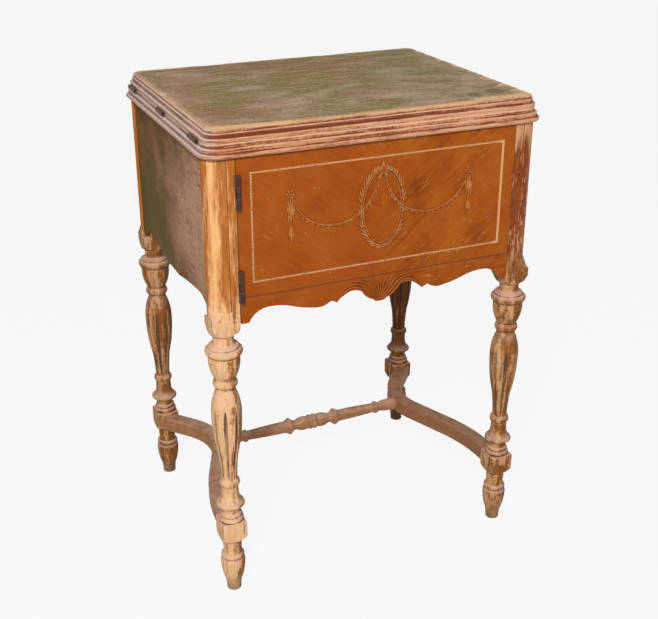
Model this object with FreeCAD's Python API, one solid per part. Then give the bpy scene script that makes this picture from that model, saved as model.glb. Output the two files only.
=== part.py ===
import FreeCAD, Part
import math
import os

V = FreeCAD.Vector

# Flip-top sewing cabinet on turned legs. Sizes are millimetres. The origin is on the floor under the
# middle of the cabinet, +Z is up, the front faces -Y and the lid turns over to the left (-X).

# Whole cabinet
cabinet_height = 775.0
leg_span_x = 496.0
leg_span_y = 385.0

# Top: fixed leaf and lid. Overhangs of the stepped edge are measured from the leg axes.
lid_thick = 20.0
leaf_thick = 19.0
lid_veneer_thick = 0.9
arris_overhang = 13.5
lid_ridge_overhang = 15.8
lid_foot_overhang = 19.8
leaf_ridge_overhang = 23.5
leaf_foot_overhang = 26.9
nose_overhang = 28.0
lid_lower_step = 6.6
lid_upper_step = 13.6
leaf_upper_step = 5.6
leaf_lower_step = 13.0
riser_recess = 0.8
tread_rise = 0.8
edge_round = 0.9
corner_setback = 2.0
veneer_margin = 1.0

# Machine opening in the fixed leaf, with the filler flap in front of the machine bed
opening_width = 376.0
opening_back_margin = 42.5
bed_depth = 180.0
flap_depth = 104.0
flap_gap = 1.0
flap_sink = 0.5
ledge_width = 24.0
ledge_bearing = 12.0
ledge_thick = 16.0

# Stile at the top of each leg
stile_height = 274.0
stile_side = 42.0
column_radius = 28.0
quirk_width = 2.0
quirk_depth = 1.6
column_run_out = 16.0
column_stop_rise = 44.0
pommel_rise = 19.0

# Turned leg, from the floor up; the vase takes the height that is left over
foot_tip_radius = 11.6
foot_ankle_radius = 12.9
foot_tip_height = 18.0
foot_radius = 19.6
foot_swell_height = 38.0
foot_shoulder_height = 14.0
foot_collar_radius = 17.4
ankle_radius = 15.2
ankle_height = 30.0
block_side = 40.0
block_height = 36.0
block_shoulder = 7.0
base_ring_radius = 19.4
base_ring_height = 9.0
waist_radius = 14.4
waist_height = 7.5
knop_radius = 22.0
knop_flare_height = 13.0
knop_edge = 3.0
knop_taper_height = 19.5
neck_radius = 13.6
neck_height = 10.0
ring_swell = 3.2
ring_height = 17.0
vase_foot_radius = 12.6
vase_radius = 23.7
vase_swell = 2.0
vase_shoulder_swell = 2.3
throat_radius = 14.4
bead_radius = 17.2
bead_swell = 3.9
bead_height = 15.5
cup_radius = 24.8
cup_height = 39.5
cup_swell = 2.0
collar_swell = 4.4
collar_top_radius = 24.6
collar_height = 16.5
stem_radius = 15.8
stem_cove_height = 7.0
stem_height = 8.5

# Vase outline: height share and swell share of its two joints, and the flutes cut along it
vase_waist_rise = 0.26
vase_waist_swell = 0.28
vase_crown_rise = 0.70
flute_rises = (0.03, 0.26, 0.70, 0.82)
flute_shares = (0.3, 0.65, 1.0, 0.25)
flute_count = 8
flute_half = 3.0
flute_depth = 2.2

# Case panels: side and back boards let into rabbets of the stiles, heights from the foot of the stile
panel_thick = 12.0
panel_recess = 1.0
panel_crown_rise = 54.5
panel_belly_rise = 40.5
panel_ear_rise = 32.0
panel_ear_run = 54.0
panel_belly_share = 0.16
cleat_side = 18.0
cleat_clear = 8.0

# Door with its apron, heights from the foot of the stile and then from the joint with the apron
door_gap = 1.5
door_head_gap = 2.0
door_thick = 19.0
door_veneer_thick = 0.8
apron_rise = 63.0
apron_drop = 41.0
apron_foot_drop = 2.0
inlay_width = 4.0
inlay_depth = 0.5
inlay_side_margin = 19.0
inlay_head_margin = 21.0
inlay_foot_margin = 20.5
stop_thick = 12.0
stop_drop = 12.0
stop_clear = 0.5
catch_stud_radius = 3.4
catch_stud_length = 14.0
catch_rise = 130.0
catch_inset = 13.0
catch_leaf_thick = 1.2
catch_clear = 0.3

# Carved ornament of the door: oval wreath, swags, drops and the shell of the apron
carving_proud = 3.2
wreath_half_width = 35.0
wreath_half_height = 60.0
wreath_end_radius = 24.0
wreath_rise = 109.0
wreath_band_half = 5.0
swag_span = 138.0
swag_sag = 55.0
swag_rise = 147.0
swag_tie_offset = 8.0
swag_half = 4.2
rosette_radius = 6.5
drop_length = 78.0
drop_half = 5.0
shell_radius = 40.0
shell_half_angle = 60.0
shell_ribs = 9
shell_rib_half = 4.4
shell_proud = 5.0
scroll_half = 3.2
scroll_radius = 19.5
scroll_place = 0.204
scroll_rise = 9.0

# Lower edge of the apron from its middle outwards: share of the half width, rise over the foot, bulge
apron_edge = (
    (0.036, 0.5, -0.4),
    (0.111, 14.5, 2.0),
    (0.275, 18.0, 8.0),
    (0.319, 9.5, 1.2),
    (0.366, 14.0, 0.0),
    (0.479, 7.5, -3.0),
    (0.643, 16.5, -1.0),
    (0.816, 22.5, 2.0),
    (0.947, 2.0, 5.0),
)

# Stretchers
stretcher_width = 26.0
stretcher_thick = 25.0
stretcher_arris = 2.0
bow_share = 0.174
stretcher_lean = 22.0
stretcher_out_lean = 40.0
front_bend_share = 0.84
back_bend_share = 0.30
cross_share = 0.688
cross_end_radius = 12.0
cross_shaft_radius = 11.0
cross_small_radius = 8.6
cross_disc_radius = 15.2
cross_disc_place = 46.5
cross_ring_from_end = 41.0
cross_vase_radius = 13.0

# Butt hinges
hinge_leaf_thick = 1.2
hinge_barrel_radius = 3.2
hinge_pin_radius = 1.3
hinge_knuckles = 3
hinge_clear = 0.35
pin_clear = 0.05
door_hinge_length = 50.0
door_hinge_depth = 16.0
door_hinge_offset = 3.0
door_hinge_head = 48.5
door_hinge_foot = 18.5
lid_hinge_length = 36.0
lid_hinge_depth = 20.0
lid_hinge_outset = 3.1
lid_hinge_shares = (-0.847, 0.016, 0.878)
flap_hinge_length = 40.0
flap_hinge_leaf = 16.0
flap_hinge_barrel_radius = 2.6
flap_hinge_place = 120.0

# Machine-head hinges at the back of the opening
head_hinge_spacing = 264.0
head_plate_width = 34.0
head_plate_depth = 40.0
head_plate_thick = 3.0
head_plate_sink = 0.3
head_plate_reach = 14.0
head_ear_thick = 5.0
head_ear_drop = 14.0
head_pivot_drop = 6.6
head_pivot_radius = 2.5
head_tongue_width = 13.0
head_tongue_radius = 5.4
head_tongue_drop = 14.0
head_pin_radius = 4.75
head_pin_length = 26.0
head_clear = 0.3

# Places worked out from the driving dimensions
leg_x = leg_span_x / 2
leg_y = leg_span_y / 2
joint_z = cabinet_height - lid_thick
leaf_z = joint_z - leaf_thick
corner_x = leg_x - corner_setback
corner_y = leg_y - corner_setback
stile_inner_x = leg_x - stile_side / 2
front_y = -(leg_y + stile_side / 2)
quirk_from_axis = column_radius - stile_side / 2
panel_half_y = leg_y - quirk_from_axis
panel_half_x = leg_x - quirk_from_axis
panel_face_x = leg_x + stile_side / 2 - panel_recess
panel_face_y = leg_y + stile_side / 2 - panel_recess
block_z = foot_tip_height + foot_swell_height + foot_shoulder_height + ankle_height
stretcher_z = block_z + block_height / 2
stile_z = leaf_z - stile_height
vase_z = (
    block_z + block_height + base_ring_height + waist_height + knop_flare_height + knop_edge
    + knop_taper_height + neck_height + ring_height
)
vase_top = stile_z - stem_height - stem_cove_height - collar_height - cup_height - bead_height
vase_height = vase_top - vase_z
panel_crown_z = stile_z + panel_crown_rise
panel_belly_z = stile_z + panel_belly_rise
panel_ear_z = stile_z + panel_ear_rise
door_half = stile_inner_x - door_gap
door_top = leaf_z - door_head_gap
door_back_y = front_y + door_thick
apron_top = stile_z + apron_rise
apron_bottom = apron_top - apron_drop
catch_z = apron_top + catch_rise
wreath_z = apron_top + wreath_rise
swag_z = apron_top + swag_rise
opening_back = leg_y - opening_back_margin
flap_front = opening_back - bed_depth - flap_depth
flap_back = opening_back - bed_depth
lid_axis_x = -(leg_x + lid_foot_overhang - riser_recess + lid_hinge_outset)
door_axis_x = -(stile_inner_x - door_hinge_offset)
door_axis_y = front_y - hinge_barrel_radius - hinge_clear
clear_y = leg_span_y - block_side
cross_y = -leg_y + block_side / 2 + cross_share * clear_y
stretcher_bow = bow_share * clear_y
bow_x = leg_x - stretcher_bow
lid_hinge_places = [share * leg_y for share in lid_hinge_shares]


class Outline:
    """Closed outline in a plane, made of lines, arcs and curves."""

    def __init__(self, u, v):
        self.start = (u, v)
        self.parts = []

    def end(self):
        return self.parts[-1][-1] if self.parts else self.start

    def to(self, u, v, sag=0.0):
        """Line to a point, or an arc that bulges by sag to the left of the way there."""
        u0, v0 = self.end()
        if sag == 0.0:
            self.parts.append([(u, v)])
            return self
        length = math.hypot(u - u0, v - v0)
        middle = ((u0 + u) / 2 - sag * (v - v0) / length, (v0 + v) / 2 + sag * (u - u0) / length)
        self.parts.append([middle, (u, v)])
        return self

    def rise(self, u, dv, swell=0.0):
        """Go on to radius u and up by dv; swell bulges the stretch outwards."""
        return self.to(u, self.end()[1] + dv, -swell)

    def mirror(self):
        """Add the mirror image of the outline in the v axis, from its end back to its start."""
        points = [self.start] + [part[-1] for part in self.parts]
        for index in range(len(self.parts) - 1, -1, -1):
            u, v = points[index]
            part = [(-u, v)]
            if len(self.parts[index]) == 2:
                middle = self.parts[index][0]
                part.insert(0, (-middle[0], middle[1]))
            self.parts.append(part)
        return self

    def face(self, place):
        """Face of the outline, where place turns (u, v) into a point."""
        edges = []
        here = self.start
        for part in self.parts + [[self.start]]:
            if len(part) == 2:
                edges.append(Part.Arc(place(*here), place(*part[0]), place(*part[1])).toShape())
            elif math.dist(here, part[0]) > 1e-6:
                edges.append(Part.makeLine(place(*here), place(*part[0])))
            here = part[-1]
        return Part.Face(Part.Wire(edges))

    def flank_face(self, place):
        """Face of the outline with each arc as two straight flanks, for turned and moulded work."""
        edges = []
        here = self.start
        for point in [point for part in self.parts for point in part] + [self.start]:
            if math.dist(here, point) > 1e-6:
                edges.append(Part.makeLine(place(*here), place(*point)))
            here = point
        return Part.Face(Part.Wire(edges))


def block(x0, x1, y0, y1, z0, z1):
    """Box between two corners."""
    return Part.makeBox(x1 - x0, y1 - y0, z1 - z0, V(x0, y0, z0))


def rod(radius, start, end):
    """Round rod between two points."""
    way = end - start
    return Part.makeCylinder(radius, way.Length, start, way)


def turned(outline):
    """Solid turned about the Z axis from an outline of radius and height, each bead in two chamfers."""
    face = outline.flank_face(lambda r, z: V(r, 0, z))
    return face.revolve(V(0, 0, 0), V(0, 0, 1), 360)


def front_board(outline, y0, y1):
    """Board cut to an outline seen from the front."""
    return outline.face(lambda x, z: V(x, y0, z)).extrude(V(0, y1 - y0, 0))


def side_board(outline, x0, x1):
    """Board cut to an outline seen from the side."""
    return outline.face(lambda y, z: V(x0, y, z)).extrude(V(x1 - x0, 0, 0))


def mirror_x(shape):
    return shape.mirror(V(0, 0, 0), V(1, 0, 0))


def mirror_y(shape):
    return shape.mirror(V(0, 0, 0), V(0, 1, 0))


def merged(first, others):
    """One solid from touching solids."""
    return first.fuse(others).removeSplitter()


# Legs

def vase_arcs():
    """Arcs of the vase as end radius, rise and swell."""
    waist = vase_foot_radius + vase_waist_swell * (vase_radius - vase_foot_radius)
    return [
        (waist, vase_waist_rise * vase_height, 0.0),
        (vase_radius, (vase_crown_rise - vase_waist_rise) * vase_height, vase_swell),
        (throat_radius, (1.0 - vase_crown_rise) * vase_height, vase_shoulder_swell),
    ]


def vase_radius_at(share):
    """Radius of the vase at a share of its height."""
    radius, height = vase_foot_radius, 0.0
    for end, rise, swell in vase_arcs():
        part = (share * vase_height - height) / rise
        if part <= 1.0:
            break
        radius, height = end, height + rise
    return radius + (end - radius) * part + 2.0 * swell * min(part, 1.0 - part)


def leg_turning():
    """Turned lower leg from the foot to inside the stile, about the Z axis."""
    leg = Outline(0, 0).to(foot_tip_radius, 0)
    leg.rise(foot_ankle_radius, foot_tip_height)
    leg.rise(foot_radius, foot_swell_height)
    leg.rise(foot_collar_radius, foot_shoulder_height)
    leg.rise(ankle_radius, ankle_height / 2)
    leg.rise(ankle_radius, ankle_height / 2 + block_height / 2)
    leg.to(base_ring_radius, leg.end()[1]).rise(base_ring_radius, block_height / 2)
    leg.rise(base_ring_radius, base_ring_height)
    leg.rise(waist_radius, waist_height)
    leg.rise(knop_radius, knop_flare_height)
    leg.rise(knop_radius, knop_edge)
    leg.rise(neck_radius, knop_taper_height)
    leg.rise(neck_radius, neck_height)
    leg.rise(vase_foot_radius, ring_height, ring_swell)
    for end, rise, swell in vase_arcs():
        leg.rise(end, rise, swell)
    leg.rise(bead_radius, bead_height, bead_swell)
    leg.rise(cup_radius, cup_height, cup_swell)
    leg.rise(collar_top_radius, collar_height, collar_swell)
    leg.rise(stem_radius, stem_cove_height)
    leg.rise(stem_radius, stem_height + pommel_rise / 2)
    leg.to(0, leg.end()[1])
    return turned(leg)


def flute():
    """Leaf-shaped cutter that follows the vase."""
    rings = []
    for rise, share in zip(flute_rises, flute_shares):
        radius = vase_radius_at(rise)
        height = vase_z + rise * vase_height
        mouth = flute_half * share * 1.4
        floor = flute_half * share * 0.5
        inner = radius - flute_depth * share
        outer = radius + flute_depth
        points = [V(outer, -mouth, height), V(outer, mouth, height)]
        points += [V(inner, floor, height), V(inner, -floor, height)]
        rings.append(Part.makePolygon(points + points[:1]))
    return Part.makeLoft(rings, True, True)


def stretcher_block():
    """Square block that takes the stretcher, its lower corners turned away."""
    half = block_side / 2
    square = block(-half, half, -half, half, block_z, block_z + block_height)
    reach = half * math.sqrt(2)
    shoulder = Outline(0, block_z).to(ankle_radius, block_z)
    shoulder.rise(reach, block_shoulder, 1.0)
    shoulder.rise(reach, block_height - block_shoulder * 1.3)
    shoulder.rise(reach - 1.5, block_shoulder * 0.3)
    shoulder.to(0, block_z + block_height)
    return square.common(turned(shoulder))


def column_cutter():
    """Waste outside the quarter column of the front-left stile, running out at its foot."""
    half = stile_side / 2
    centre = column_radius - half
    stop = stile_z + column_stop_rise
    low = stop - column_run_out
    waste = block(-half - 1, centre, -half - 1, centre, low, leaf_z + 1)
    column = Part.makeCylinder(column_radius, leaf_z + 2 - low, V(centre, centre, low - 0.5))
    tip = column_radius * math.sqrt(2) + 2
    slope = Outline(0, low - 1).to(tip, low - 1).to(tip, low)
    slope.to(column_radius, stop, 2.0)
    slope.to(column_radius * 0.6, stop + column_run_out * 0.6).to(0, stop + column_run_out)
    kept = slope.face(lambda u, z: V(0, -2 * half, 0) + V(u, 0, z)).extrude(V(0, 4 * half, 0))
    kept.rotate(V(0, 0, 0), V(0, 0, 1), 225)
    kept.translate(V(centre, centre, 0))
    return waste.cut(column).cut(kept)


def stile():
    """Square stile of the front-left leg with its quarter column and quirks, about the Z axis."""
    half = stile_side / 2
    square = block(-half, half, -half, half, stile_z, leaf_z)
    reach = half * math.sqrt(2) + 1
    pommel = Outline(0, stile_z).to(stem_radius, stile_z)
    pommel.rise(reach, pommel_rise, 2.5)
    pommel.to(reach, leaf_z + 1).to(0, leaf_z + 1)
    shaped = square.common(turned(pommel)).cut(column_cutter())
    edge = quirk_from_axis
    stop = stile_z + column_stop_rise
    front = block(edge, edge + quirk_width, -half - 1, quirk_depth - half, stop, leaf_z + 1)
    side = block(-half - 1, quirk_depth - half, edge, edge + quirk_width, stop, leaf_z + 1)
    return shaped.cut(front).cut(side)


def side_rabbet():
    """Seat of the side panel in the front-left stile."""
    return block(
        -leg_x - stile_side, -(panel_face_x - panel_thick), -panel_half_y, -leg_y + stile_side,
        panel_ear_z - 4, leaf_z + 1,
    )


def back_rabbet():
    """Seat of the back panel, for a leg in the front-left place."""
    return block(
        -panel_half_x, -leg_x + stile_side, -leg_y - stile_side, -(panel_face_y - panel_thick),
        panel_ear_z - 4, leaf_z + 1,
    )


def legs():
    """Front and back leg in the front-left place, without hinge seats."""
    cutters = []
    for index in range(flute_count):
        cutter = flute()
        cutter.rotate(V(0, 0, 0), V(0, 0, 1), 360.0 * (index + 0.5) / flute_count)
        cutters.append(cutter)
    spindle = leg_turning().cut(cutters)
    leg = merged(spindle, [stretcher_block(), stile()])
    leg.translate(V(-leg_x, -leg_y, 0))
    leg = leg.cut(side_rabbet())
    return leg, leg.cut(back_rabbet())


# Case

def panel_outline(half):
    """Panel with scalloped lower edge, from the middle of that edge round its right half."""
    belly = half * panel_belly_share
    crown = half - panel_ear_run
    panel = Outline(0, panel_belly_z).to(belly, panel_belly_z)
    panel.to(crown, panel_crown_z, 1.5)
    panel.to(half, panel_ear_z, 8.0).to(half, leaf_z).to(0, leaf_z)
    return panel.mirror()


def side_panel():
    """Left side panel."""
    return side_board(panel_outline(panel_half_y), -panel_face_x, -(panel_face_x - panel_thick))


def back_panel():
    return front_board(panel_outline(panel_half_x), panel_face_y - panel_thick, panel_face_y)


def side_cleat():
    """Strip that ties the fixed leaf to the left side panel."""
    inner = panel_face_x - panel_thick
    reach = leg_y - stile_side / 2 - cleat_clear
    return block(-inner, -inner + cleat_side, -reach, reach, leaf_z - cleat_side, leaf_z)


def back_cleat():
    inner = panel_face_y - panel_thick
    reach = stile_inner_x - cleat_side - cleat_clear
    return block(-reach, reach, inner - cleat_side, inner, leaf_z - cleat_side, leaf_z)


def door_stop():
    """Strip behind the head of the door."""
    start = door_back_y + stop_clear
    reach = stile_inner_x - 2 * catch_inset
    return block(-reach, reach, start, start + stop_thick, leaf_z - stop_drop, leaf_z)


# Top

def moulded_board(profile, bottom, top):
    """Board with a moulded edge all round; profile is an outline of overhang and height."""
    faces = profile.flank_face(lambda u, z: V(u + corner_setback, 0, z))
    pieces = []
    corners = [(1, 1), (-1, 1), (-1, -1), (1, -1)]
    places = [V(sx * corner_x, sy * corner_y, 0) for sx, sy in corners]
    for index, place in enumerate(places):
        face = faces.copy()
        face.rotate(V(0, 0, 0), V(0, 0, 1), 90.0 * index)
        face.translate(place)
        pieces.append(face.revolve(place, V(0, 0, 1), 90))
        face.rotate(place, V(0, 0, 1), 90)
        pieces.append(face.extrude(places[(index + 1) % 4] - place))
    core = block(-corner_x, corner_x, -corner_y, corner_y, bottom, top)
    return merged(core, pieces)


def lid_profile(top):
    """Stepped edge of the lid, from the joint up."""
    edge = Outline(-corner_setback, joint_z).to(lid_foot_overhang - riser_recess, joint_z)
    edge.to(lid_foot_overhang, joint_z + lid_lower_step)
    edge.to(lid_foot_overhang - edge_round, joint_z + lid_lower_step + tread_rise)
    edge.to(lid_ridge_overhang - riser_recess, joint_z + lid_lower_step + tread_rise)
    edge.to(lid_ridge_overhang, joint_z + lid_upper_step)
    edge.to(lid_ridge_overhang - edge_round, joint_z + lid_upper_step + tread_rise)
    edge.to(arris_overhang - riser_recess / 2, joint_z + lid_upper_step + tread_rise)
    edge.to(arris_overhang, top - edge_round)
    edge.to(arris_overhang - edge_round, top).to(-corner_setback, top)
    return edge


def leaf_profile():
    """Stepped edge of the fixed leaf, from its underside up to the joint."""
    upper = joint_z - leaf_upper_step
    lower = joint_z - leaf_lower_step
    edge = Outline(-corner_setback, leaf_z).to(leaf_foot_overhang - riser_recess, leaf_z)
    edge.to(leaf_foot_overhang, lower - tread_rise, leaf_foot_overhang - nose_overhang)
    edge.to(leaf_foot_overhang - edge_round, lower)
    edge.to(leaf_ridge_overhang - riser_recess, lower)
    edge.to(leaf_ridge_overhang, upper - tread_rise)
    edge.to(leaf_ridge_overhang - edge_round, upper)
    edge.to(lid_foot_overhang - riser_recess, upper)
    edge.to(lid_foot_overhang - riser_recess, joint_z).to(-corner_setback, joint_z)
    return edge


def lid_board():
    top = cabinet_height - lid_veneer_thick
    return moulded_board(lid_profile(top), joint_z, top)


def lid_veneer():
    """Thin face of the lid, set in from the arris."""
    top = cabinet_height
    edge = arris_overhang - edge_round - veneer_margin
    sheet = Outline(-corner_setback, top - lid_veneer_thick).to(edge, top - lid_veneer_thick)
    sheet.to(edge, top).to(-corner_setback, top)
    return moulded_board(sheet, top - lid_veneer_thick, top)


def fixed_leaf():
    """Fixed leaf of the top with the opening for the machine and its flap."""
    half = opening_width / 2
    leaf = moulded_board(leaf_profile(), leaf_z, joint_z)
    return leaf.cut(block(-half, half, flap_front, opening_back, leaf_z - 1, joint_z + 1))


def flap():
    """Filler board in front of the machine bed, resting on its ledges."""
    half = opening_width / 2 - flap_gap
    return block(-half, half, flap_front + flap_gap, flap_back, leaf_z, joint_z - flap_sink)


def flap_ledge():
    """Left ledge under the flap."""
    outer = -opening_width / 2 + ledge_bearing - ledge_width
    return block(outer, outer + ledge_width, flap_front, flap_back, leaf_z - ledge_thick, leaf_z)


def flap_hinge(x):
    """Small butt hinge let into the flap and the leaf, with the barrel between them."""
    half = flap_hinge_length / 2
    top = joint_z - flap_sink
    middle = flap_front + flap_gap / 2
    plate = block(
        x - half, x + half, middle - flap_hinge_leaf, middle + flap_hinge_leaf, top - hinge_leaf_thick, top
    )
    barrel_z = top - flap_hinge_barrel_radius
    barrel = rod(flap_hinge_barrel_radius, V(x - half, middle, barrel_z), V(x + half, middle, barrel_z))
    return merged(plate, [barrel])


# Butt hinges, in a frame with the pin along Z, the leaves towards +Y and their faces along X

def hinge_leaf(length, normals, depth, moving):
    """One leaf with its knuckles: the fixed leaf has the outer two and the pin, the moving one the middle."""
    start = hinge_barrel_radius + hinge_clear
    pitch = length / hinge_knuckles
    gap = hinge_clear / 2
    pieces = []
    for index in range(1 if moving else 0, hinge_knuckles, 2):
        z0 = index * pitch + (gap if index else 0)
        z1 = (index + 1) * pitch - (gap if index < hinge_knuckles - 1 else 0)
        low, high = sorted((normals[0], 0))
        pieces.append(Part.makeCylinder(hinge_barrel_radius, z1 - z0, V(0, 0, z0)))
        pieces.append(block(normals[0], normals[1], -hinge_leaf_thick, start, z0, z1))
        pieces.append(block(low, high, -hinge_leaf_thick, hinge_leaf_thick, z0, z1))
    leaf = block(normals[0], normals[1], start, depth, 0, length)
    if moving:
        bore = Part.makeCylinder(hinge_pin_radius + pin_clear, length)
        return merged(leaf, pieces).cut(bore)
    return merged(leaf, pieces + [Part.makeCylinder(hinge_pin_radius, length)])


def at_door(shape, height):
    """Place a hinge piece on the door's axis, centred at a height."""
    shape.translate(V(door_axis_x, door_axis_y, height - door_hinge_length / 2))
    return shape


def at_lid(shape, y):
    """Place a hinge piece on the lid's axis, centred at a depth."""
    shape.rotate(V(0, 0, 0), V(1, 1, 1), 240)
    shape.translate(V(lid_axis_x, y - lid_hinge_length / 2, joint_z))
    return shape


stile_leaf_faces = (-door_hinge_offset - hinge_leaf_thick, -door_hinge_offset)
door_leaf_faces = (-door_half - door_axis_x, -door_half - door_axis_x + hinge_leaf_thick)
lower_leaf_faces = (-hinge_leaf_thick - pin_clear, -pin_clear)
upper_leaf_faces = (pin_clear, hinge_leaf_thick + pin_clear)
door_leaf_depth = hinge_barrel_radius + hinge_clear + door_hinge_depth
lid_leaf_depth = hinge_barrel_radius + hinge_clear + lid_hinge_depth
door_hinge_heights = (door_top - door_hinge_head, apron_top + door_hinge_foot)


def leaf_seat(length, normals, depth):
    """Cutter for the seat of one leaf, open towards the pin."""
    return block(normals[0], normals[1], -hinge_barrel_radius, depth, 0, length)


def lid_seat(normals, y):
    """Seat of one lid hinge leaf and of the barrel."""
    barrel = Part.makeCylinder(hinge_barrel_radius + hinge_clear, lid_hinge_length + 2 * hinge_clear)
    barrel.translate(V(0, 0, -hinge_clear))
    faces = (min(normals[0], 0), max(normals[1], 0))
    return at_lid(merged(leaf_seat(lid_hinge_length, faces, lid_leaf_depth), [barrel]), y)


def door_hinge_leaves(normals, moving):
    leaves = [hinge_leaf(door_hinge_length, normals, door_leaf_depth, moving) for _ in door_hinge_heights]
    return [at_door(leaf, height) for leaf, height in zip(leaves, door_hinge_heights)]


def lid_hinge_leaves(normals, moving):
    leaves = [hinge_leaf(lid_hinge_length, normals, lid_leaf_depth, moving) for _ in lid_hinge_places]
    return [at_lid(leaf, y) for leaf, y in zip(leaves, lid_hinge_places)]


# Machine-head hinges

pivot_y = opening_back - head_plate_reach / 2
plate_top = joint_z - head_plate_sink
pivot_z = plate_top - head_plate_thick - head_pivot_drop
head_hinge_places = (-head_hinge_spacing / 2, head_hinge_spacing / 2)


def head_plate_box(x, rise=0.0):
    """Plate of one bracket, let into the leaf behind the opening."""
    half = head_plate_width / 2
    front = opening_back - head_plate_reach
    return block(
        x - half, x + half, front, front + head_plate_depth, plate_top - head_plate_thick, plate_top + rise
    )


def head_bracket(x):
    """Fixed bracket with two ears that carry the pivot."""
    inner = head_tongue_width / 2 + head_clear
    front = opening_back - head_plate_reach
    ears = []
    for side in (-1, 1):
        x0, x1 = sorted((x + side * inner, x + side * (inner + head_ear_thick)))
        low = plate_top - head_plate_thick - head_ear_drop
        ears.append(block(x0, x1, front, opening_back, low, plate_top - head_plate_thick))
    reach = inner + head_ear_thick
    pivot = rod(head_pivot_radius, V(x - reach, pivot_y, pivot_z), V(x + reach, pivot_y, pivot_z))
    return merged(head_plate_box(x), ears + [pivot])


def head_tongue(x):
    """Tongue that hangs from the pivot, with the pin that enters the machine bed."""
    half = head_tongue_width / 2
    eye = rod(head_tongue_radius, V(x - half, pivot_y, pivot_z), V(x + half, pivot_y, pivot_z))
    low = pivot_z - head_tongue_drop
    arm = block(x - half, x + half, pivot_y - head_pin_radius, pivot_y + head_pin_radius, low, pivot_z)
    pin = rod(head_pin_radius, V(x, pivot_y, low), V(x, pivot_y, low - head_pin_length))
    bore = rod(head_pivot_radius + pin_clear, V(x - half - 1, pivot_y, pivot_z), V(x + half + 1, pivot_y, pivot_z))
    return merged(eye, [arm, pin]).cut(bore)


# Door

def door_core():
    return block(-door_half, door_half, front_y + door_veneer_thick, door_back_y, apron_top, door_top)


def inlay_frame(depth):
    """Light border line let into the veneer, as deep as asked."""
    side = door_half - inlay_side_margin
    head = door_top - inlay_head_margin
    foot = apron_top + inlay_foot_margin
    outer = block(-side, side, front_y, front_y + depth, foot, head)
    inner = block(
        -side + inlay_width, side - inlay_width, front_y - 1, front_y + depth + 1,
        foot + inlay_width, head - inlay_width,
    )
    return outer.cut(inner)


def door_veneer():
    """Left half of the book-matched face."""
    sheet = block(-door_half, 0, front_y, front_y + door_veneer_thick, apron_top, door_top)
    return sheet.cut(inlay_frame(inlay_depth))


def apron_outline():
    """Apron under the door, from the foot of the shell round its right half."""
    foot = apron_bottom - apron_foot_drop
    apron = Outline(0, foot)
    for share, rise, bulge in apron_edge:
        apron.to(share * door_half, foot + rise, bulge)
    apron.to(door_half, apron_bottom).to(door_half, apron_top).to(0, apron_top)
    return apron.mirror()


def apron():
    return front_board(apron_outline(), front_y, door_back_y)


def arc_band(centre_x, centre_z, radius, start, sweep, half):
    """Raised band with bevelled sides along an arc on the door face; angles in degrees from +X to +Z."""
    angle = math.radians(start)
    band = Outline(radius - half, 0).to(radius - half / 2, carving_proud)
    band.to(radius + half / 2, carving_proud).to(radius + half, 0)
    centre = V(centre_x, front_y, centre_z)
    face = band.face(lambda u, v: centre + V(u * math.cos(angle), -v, u * math.sin(angle)))
    return face.revolve(centre, V(0, -1, 0), sweep)


def wreath_bands():
    """Oval wreath in four arcs that run into each other."""
    rise = wreath_half_height - wreath_end_radius
    side_radius = (wreath_half_width**2 + rise**2 - wreath_end_radius**2) / 2
    side_radius /= wreath_half_width - wreath_end_radius
    shift = side_radius - wreath_half_width
    lean = math.degrees(math.atan2(rise, shift))
    middle = wreath_z
    return [
        arc_band(-shift, middle, side_radius, -lean, 2 * lean, wreath_band_half),
        arc_band(shift, middle, side_radius, 180 - lean, 2 * lean, wreath_band_half),
        arc_band(0, middle + rise, wreath_end_radius, lean, 180 - 2 * lean, wreath_band_half),
        arc_band(0, middle - rise, wreath_end_radius, 180 + lean, 180 - 2 * lean, wreath_band_half),
    ]


def swag():
    """Left swag, from its rosette down and up to the tie over the wreath."""
    half = swag_span / 2
    radius = (half**2 + swag_sag**2) / (2 * swag_sag)
    lean = math.degrees(math.asin((radius - swag_sag) / radius))
    centre_x = -swag_tie_offset - half
    centre_z = swag_z - swag_sag + radius
    return arc_band(centre_x, centre_z, radius, 180 + lean, 180 - 2 * lean, swag_half)


def drop():
    """Left rosette with the tapering drop that hangs under it."""
    x = -swag_tie_offset - swag_span
    top = swag_z
    rosette = rod(rosette_radius, V(x, front_y, top), V(x, front_y - carving_proud, top))
    leaf = Outline(x - drop_half * 0.5, top).to(x + drop_half * 0.5, top)
    leaf.to(x + drop_half, top - drop_length * 0.35).to(x, top - drop_length)
    leaf.to(x - drop_half, top - drop_length * 0.35)
    return [rosette, front_board(leaf, front_y - carving_proud * 0.75, front_y)]


def festoon():
    """Wreath, swags and drops as one pressed ornament."""
    bands = wreath_bands()
    left = [swag()] + drop()
    return merged(bands[0], bands[1:] + left + [mirror_x(piece) for piece in left])


def shell_rib(angle):
    """One ridge of the shell, growing from the foot of the apron outwards."""
    base = V(0, front_y, apron_bottom)
    way = V(math.sin(angle), 0, math.cos(angle))
    side = V(math.cos(angle), 0, -math.sin(angle))
    out = V(0, -shell_proud, 0)
    rings = []
    for share in (0.1, 0.85, 1.0):
        middle = base + way * shell_radius * share
        half = side * shell_rib_half * (share if share < 0.9 else 0.6)
        crest = out * (share if share < 0.9 else 0.4)
        points = [middle - half, middle + half, middle + half * 0.3 + crest, middle - half * 0.3 + crest]
        rings.append(Part.makePolygon(points + points[:1]))
    return Part.makeLoft(rings, True, True)


def shell_scroll():
    """Scroll along the left arch of the apron, from the shell to the tooth."""
    return arc_band(-scroll_place * door_half, apron_bottom + scroll_rise, scroll_radius, 22.0, 136.0, scroll_half)


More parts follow.
